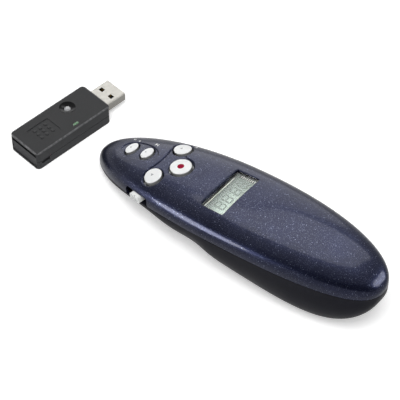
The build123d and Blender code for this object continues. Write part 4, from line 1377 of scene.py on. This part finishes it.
# ---------------------------------------------------------------------------------------
# Top cover
# ---------------------------------------------------------------------------------------
@dataclass
class TopCover:
    """Glossy upper shell with its sunk areas, key holes, display opening and slot."""

    wall: float = 2.0
    fine_step: float = 0.24
    coarse_step: float = 0.7
    fine_from_nose: Pair = (9.0, 52.0)
    end_reach: float = 14.0
    end_share: float = 0.06
    across: int = 150
    samples: int = 721
    join: float = 2e-6
    hole_gap: float = 0.5
    hole_round: float = 0.25
    round_turns: tuple[float, ...] = (22.5, 45, 67.5, 88)
    flare: Pair = (0.6, 0.45)
    tool_top: float = 4.0
    tool_depth: float = 6.0
    window_from_nose: float = 70.75
    window_size: Pair = (11.5, 24.6)
    window_corner: float = 0.7
    window_corner_steps: int = 7
    window_side_steps: int = 24
    slot_length: float = 14.2
    slot_height: float = 3.8
    slot_corner: float = 1.3
    slot_corner_steps: int = 9
    slot_reach: float = 1.0
    slot_from_nose: float = 34.65
    exit_gap: float = 0.08
    exit_reach: Pair = (-3.0, 5.0)
    exit_sides: int = 64

    def stations(self) -> np.ndarray:
        """Places of the rows of the mesh along X, closer round the keys and toward both ends.

        Returns:
            Places in millimetres.
        """
        x, places = FORM.tail_x, []
        near, far = self.fine_from_nose
        while x < FORM.nose_x:
            places.append(x)
            end = min(x - FORM.tail_x, FORM.nose_x - x)
            step = self.fine_step if FORM.nose_x - far < x < FORM.nose_x - near else self.coarse_step
            x += step * min(1.0, self.end_share + math.sqrt(max(end, 0) / self.end_reach))
        places.append(FORM.nose_x)
        return np.array(places)

    def row(self, x: float, inset: float) -> np.ndarray:
        """One row of points from the left rim over the crown to the right rim.

        Args:
            x: Place of the row.
            inset: Distance inside the outer surface.

        Returns:
            Points of shape (n, 3).
        """
        width = max(float(FORM.outline(x)) - inset, 0.0)
        rise = max(float(FORM.rise(x)) - inset, 0.0)
        power = 2 / float(FORM.section_fullness(x))
        turn = np.linspace(0, math.pi, self.samples)
        y = width * np.sign(np.cos(turn)) * np.abs(np.cos(turn)) ** power
        z = rise * np.abs(np.sin(turn)) ** power
        if width < FORM.thinnest:
            y, z = np.zeros(self.samples), np.zeros(self.samples)
        run = np.concatenate([[0], np.cumsum(np.hypot(np.diff(y), np.diff(z)))])
        at = np.linspace(0, run[-1], self.across + 1)
        base = float(FORM.seam(x)) + FORM.seam_gap / 2
        return np.stack([np.full(at.shape, x), np.interp(at, run, y), base + np.interp(at, run, z)], -1)

    def surface(self, inset: float, sunk: bool) -> np.ndarray:
        """Grid of points of the outer or inner surface.

        Args:
            inset: Distance inside the outer surface.
            sunk: Whether the sunk areas count.

        Returns:
            Points of shape (rows, columns, 3).
        """
        x0, x1 = FORM.tail_x + inset, FORM.nose_x - inset
        places = x0 + (self.stations() - FORM.tail_x) * (x1 - x0) / FORM.length
        grid = np.stack([self.row(float(x), inset) for x in places])
        if sunk:
            local = FORM.to_board(grid)
            depth = RELIEF.depth(local[..., 0], local[..., 1])
            grid = grid - depth[..., None] * FORM.board_axes[2]
        return grid

    def shell(self) -> bpy.types.Object:
        """Closed shell: outer surface, inner surface and the rim between them.

        Returns:
            The closed shell.
        """
        outer, inner = self.surface(0.0, True), self.surface(self.wall, False)
        rows, columns = outer.shape[:2]
        start = rows * columns
        faces: list[tuple[int, ...]] = []
        for i in range(rows - 1):
            for j in range(columns - 1):
                a, b = i * columns + j, (i + 1) * columns + j
                faces.append((a, a + 1, b + 1, b))
                faces.append((start + a, start + b, start + b + 1, start + a + 1))
        rim = [(i * columns + j, (i + 1) * columns + j) for i in range(rows - 1) for j in (0, columns - 1)]
        rim += [(i * columns + j, i * columns + j + 1) for i in (0, rows - 1) for j in range(columns - 1)]
        faces += [(a, b, start + b, start + a) for a, b in rim]
        points = np.concatenate([outer.reshape(-1, 3), inner.reshape(-1, 3)])
        obj = MeshShop.from_data("top_cover_shell", points, faces)
        MeshShop.mend(obj, self.join)
        return obj

    def opening(self, name: str, plan: Callable[[float], np.ndarray]) -> bpy.types.Object:
        """Cutter that runs along the board's normal and flares at the skin, so the edge comes out round.

        Args:
            name: Name of the cutter.
            plan: Points (u, v) of the opening, grown by a distance.

        Returns:
            The cutter.
        """
        r = self.hole_round
        steps = [(0.0, -self.tool_depth), (0.0, -r)]
        steps += [(r - r * math.cos(a), -r + r * math.sin(a)) for a in np.radians(self.round_turns)]
        steps += [(r + self.flare[0], self.flare[1]), (r + self.flare[0], self.tool_top)]
        loops = []
        for grow, rise in steps:
            u, v = plan(grow).T
            loops.append(FORM.from_board(np.stack([u, v, FORM.over(u, v, RELIEF.depth) + rise], -1)))
        return MeshShop.rings(name, loops)

    def window_plan(self, grow: float) -> np.ndarray:
        """Rounded rectangle of the display opening.

        Args:
            grow: Distance that it is grown by all round.

        Returns:
            Points of shape (n, 2), in the board frame.
        """
        centre = FORM.along(self.window_from_nose), 0.0
        half = np.array(self.window_size) / 2 + grow
        points = Outline.rounded(centre, half, self.window_corner + grow, self.window_corner_steps)
        dense = []
        for index, (start, end) in enumerate(Outline.sides(points)):
            straight = (index + 1) % self.window_corner_steps == 0
            dense += Outline.divide(start, end, self.window_side_steps if straight else 1)
        return np.array(dense)

    def slot_tool(self) -> bpy.types.Object:
        """Cutter of the side slot, flat below and rounded above.

        Returns:
            The cutter.
        """
        x = FORM.nose_x - self.slot_from_nose
        y, z = float(FORM.outline(x)), float(FORM.seam(x))
        slope = float(FORM.outline(x + 0.5) - FORM.outline(x - 0.5))
        normal = FORM.board_axes[2]
        along = FORM.board_axes[0] + np.array([0, slope, 0])
        along = along / np.linalg.norm(along)
        half = (self.slot_length / 2, self.slot_height / 2)
        upper = Outline.rounded((0, 0), half, self.slot_corner, self.slot_corner_steps)
        plan = [(-half[0], -half[1]), (half[0], -half[1])] + upper[:2 * self.slot_corner_steps]
        depth = self.wall + self.slot_reach
        tool = MeshShop.rings("slot_tool", [np.array([(u, v, w) for u, w in plan]) for v in (-depth, depth)])
        turn = Matrix(np.stack([along, np.cross(normal, along), normal], 1).tolist()).to_4x4()
        turn.translation = Vector((x, y, z + half[1])) * MM
        tool.data.transform(turn)
        return tool

    def exit_tool(self) -> bpy.types.Object:
        """Cutter of the round hole for the laser's window.

        Returns:
            The cutter.
        """
        low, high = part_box("laser_window")
        x, y, z = ((a + b) / 2 / MM for a, b in zip(low, high))
        radius = (high.z - low.z) / 2 / MM + self.exit_gap
        turn = np.linspace(0, 2 * math.pi, self.exit_sides, endpoint=False)
        ring = np.stack([np.full(turn.shape, x), y + radius * np.cos(turn), z + radius * np.sin(turn)], -1)
        return MeshShop.rings("exit_tool", [ring + (reach, 0, 0) for reach in self.exit_reach])

    def build(self) -> list[bpy.types.Object]:
        """Build, cut and finish the cover.

        Returns:
            The finished cover.
        """
        cover = self.shell()
        for key in KEYS:
            hole = self.opening(f"hole_{key.node}", lambda grow, key=key: key.oval(self.hole_gap + grow))
            MeshShop.cut(cover, hole)
        for tool in (self.opening("window_hole", self.window_plan), self.slot_tool(), self.exit_tool()):
            MeshShop.cut(cover, tool)
        MeshShop.smooth(cover)
        return [Palette.dress(cover, "top_shell", "handset", "top_cover")]


# ---------------------------------------------------------------------------------------
# Printed marks
# ---------------------------------------------------------------------------------------
class Glyph(Enum):
    """Plain marks, as outlines in a square of side 1 that reads to the right and up."""

    UP = ((-0.5, -0.15), (0.5, -0.15), (0.0, 0.5))
    DOWN = ((-0.5, 0.5), (0.5, 0.5), (0.0, -0.15))
    BAR = ((-0.5, -0.5), (0.5, -0.5), (0.5, -0.32), (-0.5, -0.32))
    BACK = ((-0.5, 0.0), (0.3, -0.45), (0.3, 0.45))
    AHEAD = ((0.5, 0.0), (-0.3, 0.45), (-0.3, -0.45))
    BLOCK = ((-0.4, -0.4), (0.4, -0.4), (0.4, 0.4), (-0.4, 0.4))


@dataclass(frozen=True)
class Mark:
    """One printed mark: its plan place in millimetres, its size and its glyphs."""

    x: float
    y: float
    size: float
    glyphs: tuple[Glyph, ...]
    spacing: float = 0.18

    def outlines(self) -> list[np.ndarray]:
        """Outlines (u, v) in the board frame, with points close enough to follow the skin.

        Returns:
            One array of shape (n, 2) for each glyph.
        """
        u, v, _ = FORM.on_board(self.x, self.y)
        shapes = [[(u + self.size * up, v - self.size * right) for right, up in glyph.value]
                  for glyph in self.glyphs]
        return [Outline.dense(shape, self.spacing) for shape in shapes]


class PrintShop:
    """Makes thin printed shapes that follow a surface."""

    @staticmethod
    def level(height: float) -> Heights:
        """Surface at one height."""
        return lambda u, v: np.full(u.shape, height)

    @staticmethod
    def raised(name: str, outlines: Sequence[np.ndarray], base: Heights, thickness: float, sink: float,
               place: Callable[[np.ndarray], np.ndarray] = FORM.from_board) -> bpy.types.Object:
        """Print outlines on a surface as thin closed films.

        Args:
            name: Name of the new object.
            outlines: Outlines in the surface's own plane.
            base: Height of the surface over that plane.
            thickness: How far the print stands out.
            sink: How far it reaches into the surface.
            place: Turns points of that plane into points of the model.

        Returns:
            The new object.
        """
        points: list[np.ndarray] = []
        faces: list[tuple[int, ...]] = []
        for outline in outlines:
            u, v = np.asarray(outline, float).T
            height = base(u, v)
            faces += MeshShop.stack_faces(len(u), 2, sum(len(p) for p in points))
            points += [place(np.stack([u, v, height + lift], -1)) for lift in (-sink, thickness)]
        obj = MeshShop.from_data(name, np.concatenate(points), faces)
        MeshShop.mend(obj)
        return obj


@dataclass
class KeyPrints:
    """White marks beside the keys and grey marks on four of them."""

    proud: float = 0.5
    cover_print: float = 0.03
    key_print: float = 0.02
    sink: float = 0.05
    beside: tuple[Mark, ...] = (
        Mark(100.8, -6.1, 1.5, (Glyph.UP, Glyph.BAR)),
        Mark(97.6, -5.6, 1.0, (Glyph.BLOCK,)),
        Mark(88.6, -6.7, 1.6, (Glyph.DOWN, Glyph.BAR)),
        Mark(73.7, -14.9, 1.5, (Glyph.BLOCK,)),
    )
    on_keys: tuple[tuple[str, Mark], ...] = (
        ("left_button", Mark(77.4, 9.8, 1.5, (Glyph.BACK,))),
        ("right_button", Mark(77.4, -9.8, 1.5, (Glyph.AHEAD,))),
        ("front_small_button", Mark(97.7, 0.0, 1.1, (Glyph.UP,))),
        ("rear_small_button", Mark(89.0, 0.0, 1.1, (Glyph.DOWN,))),
    )

    @staticmethod
    def cover_height(u: np.ndarray, v: np.ndarray) -> np.ndarray:
        """Height of the cover's own skin."""
        return FORM.over(u, v, RELIEF.depth) + FORM.seam_gap / 2

    def key_height(self, u: np.ndarray, v: np.ndarray) -> np.ndarray:
        """Height of the keys' tops."""
        return FORM.over(u, v) + self.proud

    def build(self) -> list[bpy.types.Object]:
        """Print the marks.

        Returns:
            The finished marks.
        """
        outlines = [outline for mark in self.beside for outline in mark.outlines()]
        legends = PrintShop.raised("key_legends", outlines, self.cover_height, self.cover_print, self.sink)
        made = [Palette.dress(legends, "white_key", "handset")]
        for key, mark in self.on_keys:
            film = PrintShop.raised(f"{key}_mark", mark.outlines(), self.key_height, self.key_print,
                                    self.sink)
            made.append(Palette.dress(film, "grey_key", key, finish=Palette.print_grey))
        return made


# ---------------------------------------------------------------------------------------
# Display
# ---------------------------------------------------------------------------------------
@dataclass
class Display:
    """What shows through the pane: the segments on the glass, the contact comb and a pale strip of painted
    highlight.
    """

    window_from_nose: float = 70.75
    digit_height: float = 4.9
    digit_width: float = 2.9
    digit_pitch: float = 4.6
    digits: int = 4
    first_shift: float = -0.3
    group_gap: float = 0.9
    foot: float = -3.4
    stroke: float = 0.72
    slant: float = 0.10
    segment_gap: float = 0.07
    dot_size: float = 0.55
    dot_from: float = -0.35
    dot_heights: Pair = (1.4, 3.4)
    comb_bars: int = 8
    comb_pitch: float = 1.0
    comb_from: float = -4.6
    comb_end: float = -9.95
    comb_size: Pair = (0.24, 1.25)
    backing: Pair = (-5.2, 3.6)
    backing_from_end: Pair = (0.15, -1.68)
    # Place, width and span of the pale strip of painted highlight, inside the window near its nose-side edge.
    highlight_strip_from: float = 4.55
    highlight_strip_width: float = 0.3
    highlight_strip_span: Pair = (-8.5, 11.2)
    spacing: float = 2.0
    segment_film: float = 0.02
    comb_film: float = 0.05
    backing_film: float = 0.015
    highlight_strip_film: float = 0.12
    sink: float = 0.02

    def bar(self, start: Pair, end: Pair) -> list[Pair]:
        """Pointed bar of one segment, between two points.

        Args:
            start: Where it starts.
            end: Where it ends.

        Returns:
            Corners of the bar.
        """
        (ax, ay), (bx, by) = start, end
        half = self.stroke / 2 / math.dist(start, end)
        tx, ty = (bx - ax) * half, (by - ay) * half
        nx, ny = -ty, tx
        return [(ax, ay), (ax + tx + nx, ay + ty + ny), (bx - tx + nx, by - ty + ny), (bx, by),
                (bx - tx - nx, by - ty - ny), (ax + tx - nx, ay + ty - ny)]

    def digit(self, right: float) -> list[list[Pair]]:
        """The seven segments of one digit.

        Args:
            right: Place of its left side along the reading direction.

        Returns:
            Outlines as points (right, up).
        """
        w, h = self.digit_width, self.digit_height
        shapes = []
        for start, end in (((0, h), (w, h)), ((w, h), (w, h / 2)), ((w, h / 2), (w, 0)), ((0, 0), (w, 0)),
                           ((0, 0), (0, h / 2)), ((0, h / 2), (0, h)), ((0, h / 2), (w, h / 2))):
            share = self.segment_gap / math.dist(start, end)
            tx, ty = (end[0] - start[0]) * share, (end[1] - start[1]) * share
            bar = self.bar((start[0] + tx, start[1] + ty), (end[0] - tx, end[1] - ty))
            shapes.append([(right + x + self.slant * y, y) for x, y in bar])
        return shapes

    def reading(self) -> list[list[Pair]]:
        """All segments and the two dots between the halves, as points (right, up).

        Returns:
            Outlines in millimetres.
        """
        shapes: list[list[Pair]] = []
        first = self.first_shift - self.digits * self.digit_pitch / 2
        for index in range(self.digits):
            gap = self.group_gap if index >= self.digits / 2 else 0.0
            shapes += self.digit(first + index * self.digit_pitch + gap)
        sides = self.dot_from, self.dot_from + self.dot_size
        return shapes + [Outline.rectangle(*sides, up, up + self.dot_size) for up in self.dot_heights]

    def build(self) -> list[bpy.types.Object]:
        """Build the segments, the comb, the dark strip under it and the pale strip of painted highlight.

        Returns:
            The finished pieces.
        """
        middle = FORM.along(self.window_from_nose)
        corners = np.array([tuple(v.co) for v in frame["nodes"]["lcd_glass"].data.vertices]) / MM
        glass = PrintShop.level(float(FORM.to_board(corners)[:, 2].max()))
        segments = [[(middle + self.foot + up, -right) for right, up in shape] for shape in self.reading()]
        width, length = self.comb_size
        starts = [middle + self.comb_from + index * self.comb_pitch for index in range(self.comb_bars)]
        bars = [Outline.rectangle(u - width / 2, u + width / 2, self.comb_end, self.comb_end - length)
                for u in starts]
        backing = Outline.rectangle(*(middle + u for u in self.backing),
                                    *(self.comb_end + v for v in self.backing_from_end))
        highlight_strip = Outline.rectangle(*(middle + self.highlight_strip_from + u for u in (0, self.highlight_strip_width)),
                                  *self.highlight_strip_span)
        backing, highlight_strip = (Outline.dense(shape, self.spacing) for shape in (backing, highlight_strip))
        pieces = []
        for name, outlines, thickness, slot, finish in (
                ("display_segments", segments, self.segment_film, "display_glass", Palette.segment_ink),
                ("display_contact_comb", bars, self.comb_film, "reflector", None),
                ("display_comb_backing", [backing], self.backing_film, "mask_ink", None),
                # Pale film that paints a highlight line inside the window.
                ("display_highlight_strip", [highlight_strip], self.highlight_strip_film, "reflector", None)):
            film = PrintShop.raised(name, outlines, glass, thickness, self.sink)
            pieces.append(Palette.dress(film, slot, "handset", finish=finish))
        return pieces


# ---------------------------------------------------------------------------------------
# Receiver
# ---------------------------------------------------------------------------------------
@dataclass
class ReceiverTrim:
    """Tiles in the sunk square of the receiver's lid, and the folded seam of its plug."""

    badge_from_middle: float = -9.8
    badge_depth: float = 0.25
    tile: float = 1.5
    tile_corner: float = 0.3
    tile_corner_steps: int = 6
    tile_below_lid: float = 0.04
    tile_sink: float = 0.1
    tile_pitch: Pair = (3.1, 2.5)
    tile_bevel: float = 0.05
    plug_bottom: float = 2.95
    fold_span: Pair = (22.2, 33.0)
    fold_half: float = 0.08
    fold_proud: float = 0.05
    fold_sink: float = 0.03
    dovetails: Pair = (24.0, 30.5)
    dovetail_neck: float = 1.6
    dovetail_flare: float = 0.3
    dovetail_reach: float = 0.75

    def tiles(self) -> bpy.types.Object:
        """Three rows of small rounded tiles.

        Returns:
            The tiles, as one piece.
        """
        outlines = [Outline.rounded((self.badge_from_middle + i * self.tile_pitch[0], j * self.tile_pitch[1]),
                                    (self.tile / 2, self.tile / 2), self.tile_corner,
                                    self.tile_corner_steps)
                    for i in (-1, 0, 1) for j in (-1, 0, 1)]
        made = PrintShop.raised("lid_relief", outlines, PrintShop.level(CASE.height - self.badge_depth),
                                self.badge_depth - self.tile_below_lid, self.tile_sink, CASE.place)
        MeshShop.bevel(made, self.tile_bevel, segments=2, angle=50)
        MeshShop.smooth(made)
        return made

    def fold(self) -> bpy.types.Object:
        """Folded seam along the underside of the plug, with its dovetails.

        Returns:
            The fold, as one piece.
        """
        outlines = [Outline.rectangle(*self.fold_span, -self.fold_half, self.fold_half)]
        for u in self.dovetails:
            end, flare = u + self.dovetail_neck, self.dovetail_flare
            outlines.append([(u, self.fold_half), (end, self.fold_half), (end + flare, self.dovetail_reach),
                             (u - flare, self.dovetail_reach)])
        return PrintShop.raised("plug_fold", outlines, PrintShop.level(self.plug_bottom), self.fold_proud,
                                self.fold_sink, CASE.place)

    def build(self) -> list[bpy.types.Object]:
        """Build and finish the trim.

        Returns:
            The finished pieces.
        """
        return [Palette.dress(self.tiles(), "receiver_case", "receiver"),
                Palette.dress(self.fold(), "plug_metal", "receiver")]


# ---------------------------------------------------------------------------------------
# Studio
# ---------------------------------------------------------------------------------------
class LampRole(Enum):
    """What a lamp is for."""

    CAST = "lights the set"
    MIRRORED = "shows as a highlight"


@dataclass(frozen=True)
class Lamp:
    """Soft lamp: its direction and half spread in degrees, and the brightness of its face (white is 1)."""

    name: str
    role: LampRole
    bearing: float
    height: float
    spread: Pair
    level: float

    def build(self, aim: Point, reach: float) -> bpy.types.Object:
        """Make the lamp.

        Args:
            aim: Place it looks at, in millimetres.
            reach: Distance from that place.

        Returns:
            The lamp.
        """
        turn, rise = math.radians(self.bearing), math.radians(self.height)
        away = Vector((math.cos(rise) * math.cos(turn), math.cos(rise) * math.sin(turn), math.sin(rise)))
        width, height = (2 * reach * MM * math.tan(math.radians(half)) for half in self.spread)
        mirrored = self.role is LampRole.MIRRORED
        data = bpy.data.lights.new(self.name, "AREA")
        data.shape = "ELLIPSE" if mirrored else "RECTANGLE"
        data.size, data.size_y = width, height
        data.energy = self.level * math.pi * width * height * (math.pi / 4 if mirrored else 1.0)
        obj = bpy.data.objects.new(self.name, data)
        bpy.context.scene.collection.objects.link(obj)
        obj.visible_diffuse = not mirrored
        obj.visible_glossy = mirrored
        obj.location = (Vector(aim) + away * reach) * MM
        obj.rotation_mode = "QUATERNION"
        obj.rotation_quaternion = (-away).to_track_quat("-Z", "Y")
        return obj


@dataclass
class Studio:
    """Pale floor, soft lights and the camera."""

    camera_at: Point = (-222.1, 346.9, 524.3)
    camera_to: Point = (65.87, -8.03, 0.0)
    roll: float = 0.25
    focal_pixels: float = 1600.0
    frame_pixels: float = 400.0
    sensor: float = 36.0
    clip: Pair = (0.01, 50.0)
    floor_half: float = 9000.0
    paper: Colour = (0.86, 0.86, 0.86, 1)
    glow: Pair = (0.43, 0.66)
    glow_reach: Pair = (0.25, 1.2)
    glow_mirrored: float = 0.16
    ambient: float = 0.36
    ceiling: float = 0.07
    horizon: Pair = (0.12, 0.32)
    wall_from: Point = (0.54, -0.54, 0.64)
    wall_edge: Pair = (0.25, 0.92)
    aim: Point = (60.0, 0.0, 20.0)
    lamp_reach: float = 1150.0
    lamps: tuple[Lamp, ...] = (
        Lamp("key_light", LampRole.CAST, 125, 68, (13, 13), 10.0),
        Lamp("far_softbox", LampRole.MIRRORED, -57, 54, (24, 11), 3.8),
        Lamp("far_card", LampRole.MIRRORED, -42, 24, (30, 18), 2.0),
        Lamp("near_strip", LampRole.MIRRORED, 54, 12, (14, 13.5), 16.5),
        Lamp("tail_box", LampRole.MIRRORED, -138, 31, (13.5, 13.5), 10.5),
    )

    @staticmethod
    def rays(bench: NodeBench) -> tuple[Socket, Socket]:
        """Mask of the camera's own rays, and mask of the mirrored and refracted ones.

        Args:
            bench: Bench on the material's tree.

        Returns:
            Both masks.
        """
        path = bench.add("LightPath").outputs
        mirrored = bench.math("MAXIMUM", path["Is Glossy Ray"], path["Is Transmission Ray"])
        return path["Is Camera Ray"], mirrored

    def floor(self) -> None:
        """Pale floor that shows as white, keeps the shadow, and is clear from below."""
        half = self.floor_half
        corners = [(u, v, 0) for u, v in Outline.rectangle(-half, half, -half, half)]
        obj = MeshShop.from_data("floor", corners, [(0, 1, 2, 3)])
        made = bpy.data.materials.new("floor_paper")
        bench = NodeBench.on(made)
        camera, mirrored = self.rays(bench)
        level = bench.ramp(bench.vector("LENGTH", bench.local()), *self.glow_reach, *self.glow)
        strength = bench.math("MAXIMUM", bench.math("MULTIPLY", camera, level),
                              bench.math("MULTIPLY", mirrored, self.glow_mirrored))
        shaders = (bench.add("BsdfDiffuse", Color=self.paper),
                   bench.add("Emission", Color=(1, 1, 1, 1), Strength=strength))
        both, one_sided = bench.add("AddShader"), bench.add("MixShader")
        for slot, shader in zip(both.inputs, shaders):
            bench.feed(slot, shader.outputs[0])
        clear = bench.add("BsdfTransparent", Color=(1, 1, 1, 1))
        backfacing = bench.add("NewGeometry").outputs["Backfacing"]
        for slot, value in zip(one_sided.inputs, (backfacing, both.outputs[0], clear.outputs[0])):
            bench.feed(slot, value)
        bench.add("OutputMaterial", Surface=one_sided.outputs[0])
        obj.data.materials.append(made)

    def world(self) -> None:
        """White for the camera, a bright wall and a dark ceiling for reflections, else an even level."""
        world = bpy.data.worlds.new("studio_world")
        bpy.context.scene.world = world
        bench = NodeBench.on(world)
        camera, mirrored = self.rays(bench)
        toward = bench.add("TexCoord").outputs["Generated"]
        horizon = bench.ramp(bench.split(toward)[2], *self.horizon, 1.0, self.ceiling)
        facing = bench.vector("DOT_PRODUCT", toward, self.wall_from)
        wall = bench.ramp(facing, *self.wall_edge, self.ceiling, 1.0)
        level = bench.chain("MAXIMUM", horizon, wall, camera)
        seen = bench.math("MULTIPLY", bench.math("MAXIMUM", camera, mirrored),
                          bench.math("SUBTRACT", level, self.ambient))
        background = bench.add("Background", Color=(1, 1, 1, 1),
                               Strength=bench.math("ADD", seen, self.ambient))
        bench.add("OutputWorld", Surface=background.outputs[0])

    def camera(self) -> None:
        """Camera at its place, rolled a little about its line of sight."""
        data = bpy.data.cameras.new("view_camera")
        data.sensor_width = self.sensor
        data.lens = self.focal_pixels / self.frame_pixels * self.sensor
        data.clip_start, data.clip_end = self.clip
        obj = bpy.data.objects.new("view_camera", data)
        bpy.context.scene.collection.objects.link(obj)
        at, to = Vector(self.camera_at), Vector(self.camera_to)
        back = (at - to).normalized()
        right = Vector((0, 0, 1)).cross(back).normalized()
        up = back.cross(right)
        turn = math.radians(self.roll)
        right, up = right * math.cos(turn) + up * math.sin(turn), up * math.cos(turn) - right * math.sin(turn)
        obj.matrix_world = Matrix.Translation(at * MM) @ Matrix((right, up, back)).transposed().to_4x4()
        bpy.context.scene.camera = obj

    def build(self) -> None:
        """Set up the floor, the world, the lamps and the camera."""
        self.floor()
        self.world()
        for lamp in self.lamps:
            lamp.build(self.aim, self.lamp_reach)
        self.camera()


def main() -> None:
    """Build every sub-assembly in order and report each one."""
    logging.basicConfig(level=logging.INFO, format="%(name)s: %(message)s")
    bpy.context.scene.view_settings.view_transform = "Standard"
    LOG.info("finished %d CAD nodes", Palette.dress_nodes())
    for assembly in (TopCover(), KeyPrints(), Display(), ReceiverTrim()):
        for piece in assembly.build():
            LOG.info("%s: %s, %d faces", type(assembly).__name__, piece.name, len(piece.data.polygons))
    Studio().build()
    LOG.info("studio ready")


if __name__ == "__main__":
    main()
